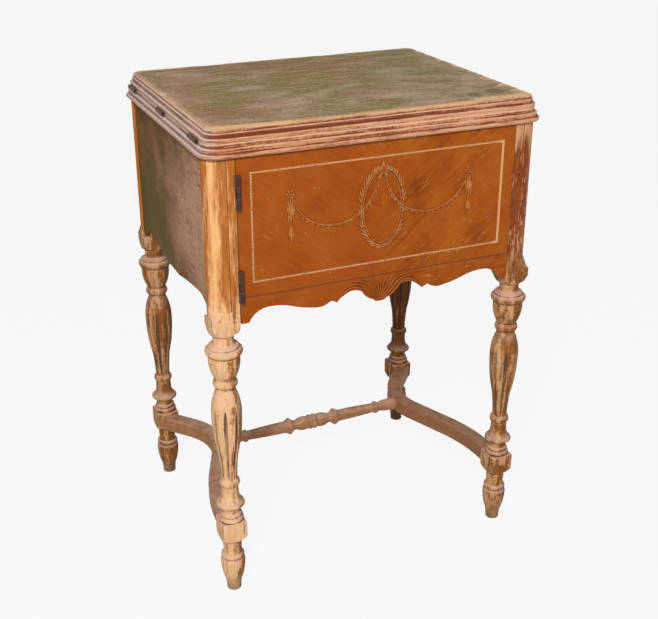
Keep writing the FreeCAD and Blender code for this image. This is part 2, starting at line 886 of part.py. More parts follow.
def carved_apron():
    """Apron with its shell and scrolls carved in the solid."""
    ribs = []
    for index in range(shell_ribs):
        share = 2.0 * index / (shell_ribs - 1) - 1.0
        ribs.append(shell_rib(math.radians(shell_half_angle * share)))
    return merged(apron(), ribs + [shell_scroll(), mirror_x(shell_scroll())])


# Stretchers

def ribbon(start, heading, pieces, width):
    """Plan outline of a strip that runs straight or bends along its middle line."""
    left, right = [], []
    here = V(*start)
    for length, radius, turn in pieces:
        marks = []
        for share in (0.0, 0.5, 1.0):
            angle = heading + turn * share
            if radius:
                side = math.copysign(1.0, turn)
                centre = here + V(-math.sin(heading), math.cos(heading), 0) * radius * side
                point = centre + V(math.sin(angle), -math.cos(angle), 0) * radius * side
            else:
                point = here + V(math.cos(heading), math.sin(heading), 0) * length * share
            marks.append((point, V(-math.sin(angle), math.cos(angle), 0)))
        for edges, sign in ((left, 0.5), (right, -0.5)):
            points = [point + normal * width * sign for point, normal in marks]
            arc = Part.Arc(*points) if radius else Part.LineSegment(points[0], points[2])
            edges.append(arc.toShape())
        here = marks[-1][0]
        heading += turn
    ends = [
        Part.makeLine(left[0].valueAt(left[0].FirstParameter), right[0].valueAt(right[0].FirstParameter)),
        Part.makeLine(left[-1].valueAt(left[-1].LastParameter), right[-1].valueAt(right[-1].LastParameter)),
    ]
    return Part.Face(Part.Wire(Part.__sortEdges__(left + right + ends)))


def side_stretcher():
    """Right serpentine stretcher, from the front block in to its bow and out to the back block."""
    lean = math.radians(stretcher_lean)
    out_lean = math.radians(stretcher_out_lean)
    front_radius = front_bend_share * clear_y
    back_radius = back_bend_share * clear_y
    run = (stretcher_bow - (front_radius + back_radius) * (1 - math.cos(lean))) / math.sin(lean)
    lead = cross_share * clear_y - (front_radius + back_radius) * math.sin(lean) - run * math.cos(lean)
    tail = (1 - cross_share) * clear_y - back_radius * math.sin(out_lean)
    low = stretcher_z - stretcher_thick / 2
    plan = ribbon(
        (leg_x, -leg_y + block_side / 2, low),
        math.pi / 2,
        [
            (lead, 0, 0),
            (0, front_radius, lean),
            (run, 0, 0),
            (0, back_radius, -lean - out_lean),
            (tail / math.cos(out_lean) + stretcher_width, 0, 0),
        ],
        stretcher_width,
    )
    strip = plan.extrude(V(0, 0, stretcher_thick))
    face = leg_y - block_side / 2
    strip = strip.cut(block(0, leg_x * 2, face, face + leg_y, low - 1, low + stretcher_thick + 1))
    top = [edge for edge in strip.Edges if edge.BoundBox.ZMin > low + stretcher_thick - 0.01]
    long = [edge for edge in top if edge.BoundBox.YLength > stretcher_arris and edge.Length > stretcher_width]
    return strip.makeChamfer(stretcher_arris, long)


def cross_stretcher(ends):
    """Turned stretcher across the cabinet, coped to the two side stretchers."""
    half = bow_x - stretcher_width / 2
    disc = cross_disc_place
    ring = half - cross_ring_from_end
    turn = Outline(0, 0).to(cross_vase_radius - 0.8, 0)
    turn.rise(cross_vase_radius + 0.6, 3.5).rise(cross_vase_radius - 1.0, 4.0)
    turn.rise(cross_small_radius + 0.6, disc - 19.0, 2.6)
    turn.rise(cross_disc_radius, 10.0)
    turn.rise(cross_disc_radius, 3.0)
    turn.rise(cross_shaft_radius, 8.0)
    turn.to(cross_small_radius, ring - 7.0)
    turn.rise(cross_small_radius, 10.0, 3.2)
    turn.rise(cross_end_radius, half - turn.end()[1] - 5.0)
    turn.rise(cross_end_radius, 7.0).to(0, half + 2.0)
    right = turned(turn)
    right.rotate(V(0, 0, 0), V(0, 1, 0), 90)
    right.translate(V(0, cross_y, stretcher_z))
    return merged(right, [mirror_x(right)]).cut(ends)


# Catch

def catch_stud():
    """Flat-headed stud on the back of the door."""
    neck = catch_stud_radius * 0.6
    head = 2 * catch_stud_radius
    stud = Outline(0, 0).to(neck, 0).to(neck, catch_stud_length - head)
    stud.to(catch_stud_radius, catch_stud_length - head).rise(catch_stud_radius, head * 0.75)
    stud.rise(neck, head * 0.25).to(0, catch_stud_length)
    shape = turned(stud)
    shape.rotate(V(0, 0, 0), V(1, 0, 0), -90)
    shape.translate(V(door_half - catch_inset, door_back_y, catch_z))
    return shape


def catch_clip():
    """Spring clip on the right stile that grips the stud from above and below."""
    reach = catch_stud_radius + catch_clear
    tall = reach + catch_leaf_thick
    y0 = door_back_y + catch_stud_length - 3 * catch_stud_radius
    y1 = door_back_y + catch_stud_length + catch_stud_radius
    x0 = door_half - catch_inset - 2 * catch_stud_radius
    outer = block(x0, stile_inner_x, y0, y1, catch_z - tall, catch_z + tall)
    inner = block(
        x0 - 1, stile_inner_x - catch_leaf_thick, y0 - 1, y1 + 1, catch_z - reach, catch_z + reach
    )
    return outer.cut(inner)


def save(name, shapes):
    """Write one node: one solid, or a group of separate solids."""
    shapes = shapes if isinstance(shapes, list) else [shapes]
    solids = [solid for shape in shapes for solid in shape.Solids]
    whole = solids[0] if len(solids) == 1 else Part.makeCompound(solids)
    whole.exportStep("parts/" + name + ".step")


def save_legs():
    front, back = legs()
    seats = [leaf_seat(door_hinge_length, stile_leaf_faces, door_leaf_depth) for _ in door_hinge_heights]
    seats = [at_door(seat, height) for seat, height in zip(seats, door_hinge_heights)]
    save("leg_front_left", front.cut(seats))
    save("leg_front_right", mirror_x(front))
    save("leg_back_left", mirror_y(back))
    save("leg_back_right", mirror_x(mirror_y(back)))


def save_case():
    save("side_panel_left", side_panel())
    save("side_panel_right", mirror_x(side_panel()))
    save("back_panel", back_panel())
    save("top_cleat_left", side_cleat())
    save("top_cleat_right", mirror_x(side_cleat()))
    save("top_cleat_back", back_cleat())
    save("door_stop", door_stop())
    save("catch_clip", catch_clip())
    right = side_stretcher()
    left = mirror_x(right)
    save("stretcher_right", right)
    save("stretcher_left", left)
    save("stretcher_cross", cross_stretcher([left, right]))


def save_top():
    lower_seats = [lid_seat(lower_leaf_faces, y) for y in lid_hinge_places]
    upper_seats = [lid_seat(upper_leaf_faces, y) for y in lid_hinge_places]
    flap_hinges = [flap_hinge(x) for x in (-flap_hinge_place, flap_hinge_place)]
    plate_seats = [head_plate_box(x, head_plate_sink + 1) for x in head_hinge_places]
    flap_rise = [hinge.translated(V(0, 0, flap_sink)) for hinge in flap_hinges]
    save("fixed_leaf", fixed_leaf().cut(lower_seats + plate_seats + flap_hinges + flap_rise))
    save("machine_flap", flap().cut(flap_hinges))
    save("flap_hinges", flap_hinges)
    save("flap_ledges", [flap_ledge(), mirror_x(flap_ledge())])
    save("lid_board", lid_board().cut(upper_seats))
    save("lid_veneer", lid_veneer())
    save("lid_hinge_lower_leaves", lid_hinge_leaves(lower_leaf_faces, False))
    save("lid_hinge_upper_leaves", lid_hinge_leaves(upper_leaf_faces, True))


def save_machine_hinges():
    save("machine_hinge_brackets", [head_bracket(x) for x in head_hinge_places])
    for side, x in zip(("left", "right"), head_hinge_places):
        save("machine_tongue_" + side, head_tongue(x))


def save_door():
    seats = [leaf_seat(door_hinge_length, door_leaf_faces, door_leaf_depth) for _ in door_hinge_heights]
    seats = [at_door(seat, height) for seat, height in zip(seats, door_hinge_heights)]
    save("door_core", door_core().cut(seats))
    save("door_veneer_left", door_veneer().cut(seats))
    save("door_veneer_right", mirror_x(door_veneer()))
    save("inlay_border", inlay_frame(inlay_depth))
    save("door_apron", carved_apron().cut(seats))
    save("festoon", festoon())
    save("catch_stud", catch_stud())
    save("door_hinge_stile_leaves", door_hinge_leaves(stile_leaf_faces, False))
    save("door_hinge_door_leaves", door_hinge_leaves(door_leaf_faces, True))


os.makedirs("parts", exist_ok=True)
save_legs()
save_case()
save_top()
save_machine_hinges()
save_door()
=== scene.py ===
"""Looks of a worn flip-top sewing cabinet on turned legs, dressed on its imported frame."""

import logging
import math
from collections.abc import Callable, Sequence
from dataclasses import dataclass
from enum import Enum
from functools import partial, reduce

import bpy
from mathutils import Matrix, Vector, noise


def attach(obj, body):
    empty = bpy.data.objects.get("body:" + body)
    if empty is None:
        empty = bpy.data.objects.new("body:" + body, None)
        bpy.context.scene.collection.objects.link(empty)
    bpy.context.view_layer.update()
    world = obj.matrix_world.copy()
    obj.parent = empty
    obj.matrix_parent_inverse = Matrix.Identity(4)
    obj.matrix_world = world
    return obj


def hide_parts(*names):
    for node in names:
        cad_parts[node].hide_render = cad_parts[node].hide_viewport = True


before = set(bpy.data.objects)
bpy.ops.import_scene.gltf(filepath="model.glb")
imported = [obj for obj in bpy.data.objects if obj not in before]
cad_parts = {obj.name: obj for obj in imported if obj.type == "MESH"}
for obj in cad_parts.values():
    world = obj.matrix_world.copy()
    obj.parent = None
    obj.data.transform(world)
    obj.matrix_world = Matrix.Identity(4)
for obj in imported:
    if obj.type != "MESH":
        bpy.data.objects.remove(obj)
log = logging.getLogger("sewing_cabinet")

MM = 0.001
WELD = 2e-6
FIBRE = 0.045
SHADE_SAMPLES = 8
Point = tuple[float, float]
Place = tuple[float, float, float]
Shades = tuple[str, str]
Object = bpy.types.Object
Material = bpy.types.Material
Node = bpy.types.Node
Socket = bpy.types.NodeSocket
Input = Node | Socket | Place | str | float
Add = Callable[..., Node]


class Side(Enum):
    """Left or right half of the cabinet, as the sign of X."""

    LEFT = -1.0
    RIGHT = 1.0


class Run(Enum):
    """Way that the wood fibre runs, as the share of the cross size along X, Y and Z."""

    ALONG_X = (FIBRE, 1.0, 1.0)
    ALONG_Y = (1.0, FIBRE, 1.0)


# Tools of the bench

def close() -> None:
    """Goes back to object mode."""
    if bpy.context.mode != "OBJECT":
        bpy.ops.object.mode_set(mode="OBJECT")


def begin() -> None:
    """Goes to object mode with nothing selected."""
    close()
    bpy.ops.object.select_all(action="DESELECT")


def made(operator: Callable[..., set[str]], **settings: object) -> Object:
    """Makes an object with one of Blender's operators.

    Args:
        operator: operator that adds the object.
        settings: what the operator is given.

    Returns:
        The new object.
    """
    begin()
    operator(**settings)
    return bpy.context.object


def take(obj: Object) -> None:
    """Makes an object the only one selected."""
    begin()
    obj.select_set(True)
    bpy.context.view_layer.objects.active = obj


def edit(obj: Object) -> None:
    """Opens an object in edit mode with all of it selected."""
    take(obj)
    bpy.ops.object.mode_set(mode="EDIT")
    bpy.ops.mesh.select_all(action="SELECT")


def joined(parts: list[Object], name: str) -> Object:
    """Joins objects into the first of them.

    Args:
        parts: objects to join.
        name: name of the result.

    Returns:
        The joined object.
    """
    take(parts[0])
    for part in parts[1:]:
        part.select_set(True)
    if len(parts) > 1:
        bpy.ops.object.join()
    parts[0].name = name
    parts[0].data.name = name
    return parts[0]


def copied(obj: Object, name: str, move: Matrix | None = None) -> Object:
    """Copies an object with a mesh of its own, and moves the mesh."""
    twin = bpy.data.objects.new(name, obj.data.copy())
    bpy.context.scene.collection.objects.link(twin)
    if move is not None:
        twin.data.transform(move)
    return twin


def modified(obj: Object, kind: str, **settings: object) -> Object:
    """Adds a modifier and applies it.

    Args:
        obj: object to change.
        kind: modifier type.
        settings: attributes of the modifier.

    Returns:
        The same object.
    """
    take(obj)
    modifier = obj.modifiers.new(kind.lower(), kind)
    for key, value in settings.items():
        setattr(modifier, key, value)
    bpy.ops.object.modifier_apply(modifier=modifier.name)
    return obj


def cut_with(obj: Object, tool: Object, operation: str) -> Object:
    """Cuts an object with another one, which is used up."""
    modified(obj, "BOOLEAN", object=tool, operation=operation, solver="EXACT")
    bpy.data.objects.remove(tool)
    return obj


def rounded(obj: Object, width_mm: float, degrees: float) -> Object:
    """Rounds the edges of an object that are sharper than an angle."""
    return modified(obj, "BEVEL", width=width_mm * MM, segments=2, limit_method="ANGLE",
                    angle_limit=math.radians(degrees))


def smooth(obj: Object, degrees: float = 35.0) -> Object:
    """Shades an object smooth, with edges sharper than an angle kept."""
    take(obj)
    bpy.ops.object.shade_smooth_by_angle(angle=math.radians(degrees))
    return obj


def from_solid(node: str, name: str) -> Object:
    """Copies a CAD node's mesh and merges its loose triangles into flat faces.

    Args:
        node: CAD node to copy.
        name: name of the copy.

    Returns:
        The copy, which rides on nothing yet.
    """
    obj = copied(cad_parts[node], name)
    obj.data.materials.clear()
    take(obj)
    if obj.data.has_custom_normals:
        bpy.ops.mesh.customdata_custom_splitnormals_clear()
    edit(obj)
    bpy.ops.mesh.remove_doubles(threshold=WELD)
    bpy.ops.mesh.dissolve_limited(angle_limit=math.radians(0.4))
    close()
    return obj


def halved(obj: Object, place_mm: Place, normal: Place) -> Object:
    """Cuts off what lies behind a plane and closes the cut.

    Args:
        obj: object to cut.
        place_mm: a point of the plane.
        normal: side of the plane that stays.

    Returns:
        The same object.
    """
    edit(obj)
    bpy.ops.mesh.bisect(plane_co=[c * MM for c in place_mm], plane_no=normal, use_fill=True, clear_inner=True,
                        threshold=WELD)
    close()
    return obj


def turned(profile: list[Point], steps: int) -> Object:
    """Turns a profile about the Z axis, as on a lathe.

    Args:
        profile: radius and height in millimetres, from pole to pole.
        steps: faces round the axis.

    Returns:
        A closed mesh at the origin.
    """
    obj = made(bpy.ops.mesh.primitive_plane_add, size=MM)
    edit(obj)
    bpy.ops.mesh.merge(type="CENTER")
    bpy.ops.transform.translate(value=(profile[0][0] * MM, 0.0, profile[0][1] * MM))
    for (r0, z0), (r1, z1) in zip(profile, profile[1:]):
        bpy.ops.mesh.extrude_vertices_move(
            TRANSFORM_OT_translate={"value": ((r1 - r0) * MM, 0.0, (z1 - z0) * MM)})
    bpy.ops.mesh.select_all(action="SELECT")
    bpy.ops.mesh.spin(steps=steps, angle=math.tau, center=(0, 0, 0), axis=(0, 0, 1))
    bpy.ops.mesh.select_all(action="SELECT")
    bpy.ops.mesh.remove_doubles(threshold=WELD / 2)
    bpy.ops.mesh.normals_make_consistent(inside=False)
    close()
    return obj


def drawn(start: Point, stretches: list[Place]) -> list[Point]:
    """Draws a turning profile from stretches that are straight or bulge as arcs.

    Args:
        start: first radius and height.
        stretches: radius and height of each end, and the outward bulge on the way there.

    Returns:
        Points of the profile, arcs in short steps.
    """
    points = [start]
    for radius, height, bulge in stretches:
        if bulge == 0.0:
            points.append((radius, height))
            continue
        r0, z0 = points[-1]
        length = math.hypot(radius - r0, height - z0)
        out = Vector((height - z0, r0 - radius)) / length
        arc_radius = (length * length / 4.0 + bulge * bulge) / (2.0 * abs(bulge))
        half = 2.0 * math.atan(2.0 * abs(bulge) / length)
        steps = max(4, min(12, round(length / 3.2)))
        for index in range(1, steps + 1):
            angle = half * (2.0 * index / steps - 1.0)
            along = 0.5 + 0.5 * math.sin(angle) / math.sin(half)
            lift = math.copysign(arc_radius * (math.cos(angle) - math.cos(half)), bulge)
            points.append((r0 + (radius - r0) * along + out.x * lift, z0 + (height - z0) * along + out.y * lift))
    return points


def ride(piece: Object, body: str, material: Material, slot: str, *nodes: str) -> None:
    """Dresses a new piece and puts it on its body.

    Args:
        piece: finished piece.
        body: CAD body that it moves with.
        material: its finish.
        slot: name of a material slot; not used.
        nodes: CAD nodes that it stands for.
    """
    piece.data.materials.clear()
    piece.data.materials.append(material)
    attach(piece, body)
    if nodes:
        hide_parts(*nodes)
    log.info("%s: %d faces on %s", piece.name, len(piece.data.polygons), body)


def dress(material: Material, *nodes: str) -> None:
    """Gives CAD nodes whose shape is right their finish.

    Args:
        material: the finish.
        nodes: CAD nodes.
    """
    for node in nodes:
        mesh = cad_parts[node].data
        mesh.materials.clear()
        mesh.materials.append(material)
        log.info("%s: CAD shape in %s", node, material.name)


# Tools for node trees

def linear(colour: str) -> tuple[float, float, float, float]:
    """Turns an sRGB hex value into a linear colour.

    Args:
        colour: value such as #A0B0C0.

    Returns:
        Linear red, green, blue and full opacity.
    """
    parts = [int(colour[i:i + 2], 16) / 255.0 for i in (1, 3, 5)]
    return (*[p / 12.92 if p <= 0.04045 else ((p + 0.055) / 1.055) ** 2.4 for p in parts], 1.0)


def add_node(tree: bpy.types.NodeTree, kind: str, *ins: Input, **named: object) -> Node:
    """Adds a node with its settings and links.

    Args:
        tree: node tree to add to.
        kind: node type without its ShaderNode prefix, or the operation of a Math node in capitals.
        ins: value, hex colour, node or output for each input, in order.
        named: the same by the name of the input, with a capital, or attributes of the node.

    Returns:
        The new node.
    """
    node = tree.nodes.new("ShaderNode" + ("Math" if kind.isupper() else kind))
    if kind.isupper():
        node.operation = kind
    inputs = dict(enumerate(ins))
    for key, value in named.items():
        if key[0].isupper():
            inputs[key.replace("_", " ")] = value
        else:
            setattr(node, key, value)
    for key, value in inputs.items():
        if isinstance(value, (Node, Socket)):
            tree.links.new(value.outputs[0] if isinstance(value, Node) else value, node.inputs[key])
        else:
            node.inputs[key].default_value = linear(value) if isinstance(value, str) else value
    return node


def cleared(owner: Material | bpy.types.World) -> Add:
    """Empties the node tree of a material or a world.

    Args:
        owner: what the tree belongs to.

    Returns:
        The function that adds a node to it.
    """
    owner.use_nodes = True
    owner.node_tree.nodes.clear()
    return partial(add_node, owner.node_tree)


def layered(add: Add, ground: Input, *coats: tuple[Input, Input]) -> Node:
    """Lays coats of colour over a ground.

    Args:
        add: adds a node.
        ground: colour underneath.
        coats: share and colour of each coat, from the lowest up.

    Returns:
        The colour on top.
    """
    for share, colour in coats:
        ground = add("MixRGB", share, ground, colour)
    return ground


def summed(add: Add, start: Input, *terms: tuple[Input, Input]) -> Node:
    """Adds products to a start value.

    Args:
        add: adds a node.
        start: value to start from.
        terms: two factors of each product.

    Returns:
        The sum.
    """
    for term, weight in terms:
        start = add("MULTIPLY_ADD", term, weight, start)
    return start


def streaked(add: Add, place: Input, scale: Place, detail: float, roughness: float, **more: float) -> Node:
    """Adds noise that is stretched along the fibre.

    Args:
        add: adds a node.
        place: coordinates.
        scale: cells in a metre along each axis.
        detail: octaves of the noise.
        roughness: share of each finer octave.
        more: other inputs of the noise.

    Returns:
        The noise.
    """
    way = add("Mapping", place, Scale=scale)
    return add("TexNoise", way, Scale=1.0, Detail=detail, Roughness=roughness, **more)


def relief(add: Add, deep_mm: float, proud_mm: float) -> tuple[Node, Node]:
    """Adds two values that fall below 1, one in hollows and one on what stands proud.

    Args:
        add: adds a node.
        deep_mm: reach of the first.
        proud_mm: reach of the second.

    Returns:
        Both values.
    """
    shade = partial(add, "AmbientOcclusion", samples=SHADE_SAMPLES, only_local=True)
    return shade(Distance=deep_mm * MM), shade(Distance=proud_mm * MM, inside=True)


def nearest(add: Add, place: Socket, points: Sequence[Place]) -> Node:
    """Adds the distance to the nearest of two or more points.

    Args:
        add: adds a node.
        place: coordinates.
        points: points in metres.

    Returns:
        The distance.
    """
    ways = [add("VectorMath", place, point, operation="DISTANCE").outputs["Value"] for point in points]
    return reduce(partial(add, "MINIMUM"), ways)


def facing(add: Add, normal: Socket, way: Place) -> Socket:
    """Adds how far a surface faces a way, from -1 to 1."""
    return add("VectorMath", normal, way, operation="DOT_PRODUCT").outputs["Value"]


# Finishes

@dataclass(frozen=True)
class Coat:
    """What a finish feeds to its shader."""

    colour: Node
    rough: Node | float
    normal: Node
    metallic: float = 0.0


@dataclass(frozen=True)
class Finish:
    """A material of nodes on object coordinates, named for the real one."""

    name: str
    gloss: float = 0.2

    def make(self) -> Material:
        """Makes the material.

        Returns:
            The new material.
        """
        material = bpy.data.materials.new(self.name)
        add = cleared(material)
        coat = self.paint(add, add("TexCoord").outputs["Object"])
        shader = add("BsdfPrincipled", Base_Color=coat.colour, Metallic=coat.metallic, Roughness=coat.rough,
                     Normal=coat.normal, Specular_IOR_Level=self.gloss)
        add("OutputMaterial", Surface=shader)
        return material

    def paint(self, add: Add, place: Socket) -> Coat:
        """Adds the nodes that colour the shader.

        Args:
            add: adds a node to the material.
            place: object coordinates.

        Returns:
            What the shader takes in.
        """
        raise NotImplementedError


@dataclass(frozen=True)
class WornLegWood(Finish):
    """Turned gumwood, brown stain rubbed off to pale bare wood on all that stands proud.

    Stain is left in the flutes, in hollows and in streaks along the fibre, more of it on the right and at the back;
    the darker right and back legs are partly painted shade. Painted shade also darkens the flutes, the hollows
    and the faces that turn to the right. Dust has settled pink on the tops of the rings, and the feet are dirty.
    """

    gloss: float = 0.05
    bare: Shades = ("#D89E68", "#F2CBA2")
    tan: Shades = ("#94643A", "#C08E5C")
    stain: Shades = ("#74401A", "#AC6A2C")
    stain_old_and_shade: str = "#4E2A16"
    stile_left: Shades = ("#8A4A16", "#BA6E2C")
    stile_right: Shades = ("#5A1E06", "#98461A")
    stile_bare: Shades = ("#EDAA6A", "#D29C74")
    stile_fleck: str = "#DCA274"
    hollow_shade_and_dirt: Shades = ("#5A2E1E", "#9A5228")
    dust: str = "#D6AE9C"
    flute: str = "#5C433E"
    knot: str = "#3A2117"
    grime: str = "#75604C"
    fibre_mm: float = 2.2
    streak_mm: float = 11.0
    flake_mm: float = 5.0
    shred_mm: float = 4.0
    knots: tuple[Place, ...] = ((-0.2698, -0.1998, 0.4205), (0.2543, -0.2146, 0.4165))

    def paint(self, add: Add, place: Socket) -> Coat:
        """Adds bare wood, stain, flutes, painted shade in the flutes, in hollows and on the right, dust, knots and
        grime.
        """
        x, y, z = add("SeparateXYZ", place).outputs
        normal = add("NewGeometry").outputs["Normal"]
        up = add("SeparateXYZ", normal).outputs["Z"]
        fine, wide, strip = (1.0 / (size * MM) for size in (self.fibre_mm, self.streak_mm, self.shred_mm))
        grain = streaked(add, place, (fine, fine, fine * FIBRE), 4.0, 0.65)
        streak = streaked(add, place, (wide, wide, wide * 0.13), 5.0, 0.6)
        shred = streaked(add, place, (strip, strip, strip * 0.16), 6.0, 0.75)
        flake = add("TexNoise", place, Scale=1.0 / (self.flake_mm * MM), Detail=6.0, Roughness=0.7)
        tone = add("MapRange", grain, 0.3, 0.7)
        deep, proud = relief(add, 6.0, 3.0)
        # Where it is: to the right, to the rear, on the stile
        east = add("MapRange", x, -0.22, 0.22)
        rear = add("MapRange", y, -0.17, 0.17)
        # Older, darker stain to the right and rear, which is partly painted shade over the back and right legs
        age_and_shade = summed(add, add("MULTIPLY", east, 0.54), (rear, 0.62), (add("MULTIPLY", east, rear), -0.21))
        redness = add("MapRange", x, -0.1, 0.2)
        case = add("MapRange", z, 0.485, 0.535)
        below = add("MULTIPLY_ADD", case, -1.0, 1.0)
        # Share of the stain that is left
        face_x, face_y, _ = add("SeparateXYZ", add("VectorMath", normal, operation="ABSOLUTE")).outputs
        corner = add("MapRange", add("MINIMUM", face_x, face_y), 0.25, 0.66, 0.24, -0.02)
        head = add("MapRange", z, 0.67, 0.72, 0.0, -0.40)
        stile = add("MULTIPLY", case, summed(add, corner, (head, east), (east, 0.09)))
        # Painted shade: more dark stain is left on the faces that turn to the right and front, below the case
        painted_right_shade = add("MapRange", facing(add, normal, (0.85, -0.52, 0.0)), 0.3, 0.95, -0.03, 0.09)
        bits = add("MixRGB", case, flake, shred)
        rag = add("MULTIPLY_ADD", east, 0.36, 0.36)
        bite = add("MULTIPLY_ADD", case, rag, 0.34)
        left = summed(add, stile, (below, painted_right_shade), (age_and_shade, 0.15), (streak, 0.75), (case, add("MULTIPLY", rag, -0.5)),
                      (bits, bite), (deep, -0.22), (proud, 0.30))
        stained = add("MixRGB", case, add("MapRange", left, 0.648, 0.735), add("MapRange", left, 0.60, 0.82))
        # Wood and stain
        fresh, aged, brown, gold, amber = (add("MixRGB", tone, *shades) for shades in (
            self.bare, self.tan, self.stain, self.stile_left, self.stile_right))
        stile_wood = add("MixRGB", redness, *self.stile_bare)
        stain = layered(add, brown, (add("MULTIPLY", age_and_shade, 0.5), self.stain_old_and_shade),
                        (case, add("MixRGB", redness, gold, amber)))
        base = layered(add, fresh, (age_and_shade, aged), (add("MULTIPLY", case, 0.7), stile_wood),
                       (add("MULTIPLY", stained, 0.94), stain))
        # Flecks, flutes and painted shade in them, dust, painted shade in hollows and on the right side, knots and
        # dirt over it
        loose = add("ADD", shred, add("MapRange", z, 0.60, 0.51, 0.0, 0.08))
        chips = add("MULTIPLY", add("MapRange", loose, 0.545, 0.61, 0.0, 0.85), add("MULTIPLY", case, redness))
        cut = add("Attribute", attribute_name="flute").outputs["Fac"]
        # Flutes: stain left in them, and painted shade that darkens them further
        sunk = add("MULTIPLY", cut, add("MapRange", streak, 0.36, 0.54, 0.45, 0.95))
        dusty = add("MapRange", up, 0.2, 0.8, 0.0, 0.7)
        # Painted shade, with some dirt, darkens the hollows, found by ambient occlusion
        dark = add("MapRange", deep, 0.80, 0.45, 0.0, 0.9)
        # Painted shade: the faces that turn to the right, below the case, are darkened with the old stain colour
        side = add("MapRange", facing(add, normal, (0.98, 0.2, 0.0)), 0.25, 0.9, 0.0, 0.62)
        knot = add("MapRange", nearest(add, place, self.knots), 3.0 * MM, 1.4 * MM, 0.0, 0.85)
        dirt = add("MULTIPLY", add("MapRange", z, 0.034, 0.004, 0.0, 1.3), flake, use_clamp=True)
        whole = layered(add, base, (chips, self.stile_fleck), (sunk, self.flute), (dusty, self.dust),
                        (dark, add("MixRGB", case, *self.hollow_shade_and_dirt)),
                        (add("MULTIPLY", side, below), self.stain_old_and_shade), (knot, self.knot), (dirt, self.grime))
        bump = add("Bump", Height=grain, Strength=0.3, Distance=0.3 * MM)
        flaked = add("Bump", Height=stained, Strength=0.4, Distance=0.2 * MM, Normal=bump)
        return Coat(whole, add("MapRange", stained, 0.0, 1.0, 0.66, 0.46), flaked)


@dataclass(frozen=True)
class WalnutFace(Finish):
    """Sliced walnut veneer, rubbed varnish, book-matched so that the figure falls towards the middle.

    The left leaf of the match is redder, and the varnish has pale scratches and specks.
    """

    gloss: float = 0.1
    dark: str = "#743206"
    middle: str = "#A05014"
    light: str = "#AE601A"
    red: str = "#A04A16"
    scratch: str = "#D9A870"
    joint: str = "#4E3B30"
    lean_degrees: float = 38.0
    figure_mm: float = 6.0
    pore_mm: float = 0.8
    mirrored: bool = True
    joint_z: float = 525.0

    def paint(self, add: Add, place: Socket) -> Coat:
        """Adds figure, pores, the redder leaf, the joint line and scratches."""
        x, y, z = add("SeparateXYZ", place).outputs
        side = add("LESS_THAN", x, 0.0)
        across = add("MULTIPLY_ADD", side, 0.031, add("ABSOLUTE", x)) if self.mirrored else x
        folded = add("CombineXYZ", across, y, z)
        leant = add("Mapping", folded, Rotation=(0.0, math.radians(self.lean_degrees), 0.0))
        wide, fine = 1.0 / (self.figure_mm * MM), 1.0 / (self.pore_mm * MM)
        figure = streaked(add, leant, (wide * 0.10, wide, wide), 5.0, 0.6, Distortion=0.4)
        pores = streaked(add, leant, (fine * 0.04, fine, fine), 2.0, 0.5)
        thin = streaked(add, leant, (42.0, 1.0, 900.0), 1.0, 0.5)
        cloud = add("TexNoise", leant, Scale=22.0, Detail=4.0, Roughness=0.55)
        patch = add("TexNoise", place, Scale=18.0, Detail=3.0)
        tone = add("MapRange", add("MULTIPLY_ADD", cloud, 1.3, figure), 0.62, 1.62)
        pored = add("MapRange", pores, 0.38, 0.25, 0.0, 0.55)
        handled = add("ADD", patch, add("MapRange", x, -0.1, 0.18, 0.0, 0.16))
        worn = add("MapRange", handled, 0.54, 0.70, 0.0, 0.7)
        cuts = add("MULTIPLY", add("MapRange", thin, 0.68, 0.75), worn)
        dots = add("TexVoronoi", place, Scale=85.0)
        small = add("MapRange", dots, 0.10, 0.05, 0.0, 0.7)
        speck = add("MULTIPLY", small, add("MapRange", cloud, 0.50, 0.62))
        off = add("ABSOLUTE", add("SUBTRACT", z, self.joint_z * MM))
        seam = add("MapRange", off, 1.2 * MM, 0.5 * MM, 0.0, 0.85)
        whole = layered(add, self.dark, (add("MapRange", tone, 0.0, 0.5), self.middle),
                        (add("MapRange", tone, 0.5, 1.0), self.light), (add("MULTIPLY", side, 0.45), self.red),
                        (pored, self.dark), (add("MAXIMUM", cuts, speck), self.scratch), (seam, self.joint))
        bump = add("Bump", Height=pores, Strength=0.2, Distance=0.15 * MM)
        return Coat(whole, add("MapRange", patch, 0.0, 1.0, 0.38, 0.58), bump)


@dataclass(frozen=True)
class Stringing(Finish):
    """Pale holly line of short pieces let into the veneer, broken and dirty between the pieces."""

    pale: str = "#F2BE86"
    plain: str = "#DCA86C"
    gap: str = "#8E4A1C"
    pitch_mm: float = 4.4
    half_x: float = 0.2045
    half_z: float = 0.08175
    middle_z: float = 0.62925

    def paint(self, add: Add, place: Socket) -> Coat:
        """Adds the row of slanting pieces, and the plain run on the right."""
        x, _, z = add("SeparateXYZ", place).outputs
        chips = add("TexNoise", place, Scale=330.0, Detail=4.0, Roughness=0.7)
        along = add("MULTIPLY_ADD", chips, 2.4 * MM, add("ADD", x, z))
        share = add("FRACT", add("DIVIDE", along, self.pitch_mm * MM))
        bead = add("MapRange", add("ABSOLUTE", add("SUBTRACT", share, 0.5)), 0.37, 0.18)
        lost = add("MapRange", chips, 0.36, 0.50, 0.2, 1.0)
        ends = add("SUBTRACT", add("ABSOLUTE", x), self.half_x)
        level = add("SUBTRACT", add("ABSOLUTE", add("SUBTRACT", z, self.middle_z)), self.half_z)
        away = add("ABSOLUTE", add("MAXIMUM", ends, level))
        ragged = add("MULTIPLY_ADD", chips, 1.6 * MM, away)
        thin = add("MapRange", ragged, 2.5 * MM, 1.8 * MM)
        shown = add("MULTIPLY", add("MULTIPLY", bead, thin), lost)
        right = add("MapRange", x, 0.190, 0.2022, 0.0, 0.9)
        whole = layered(add, self.gap, (shown, self.pale), (right, self.plain))
        return Coat(whole, 0.5, add("Bump", Height=shown, Strength=0.5, Distance=0.2 * MM))


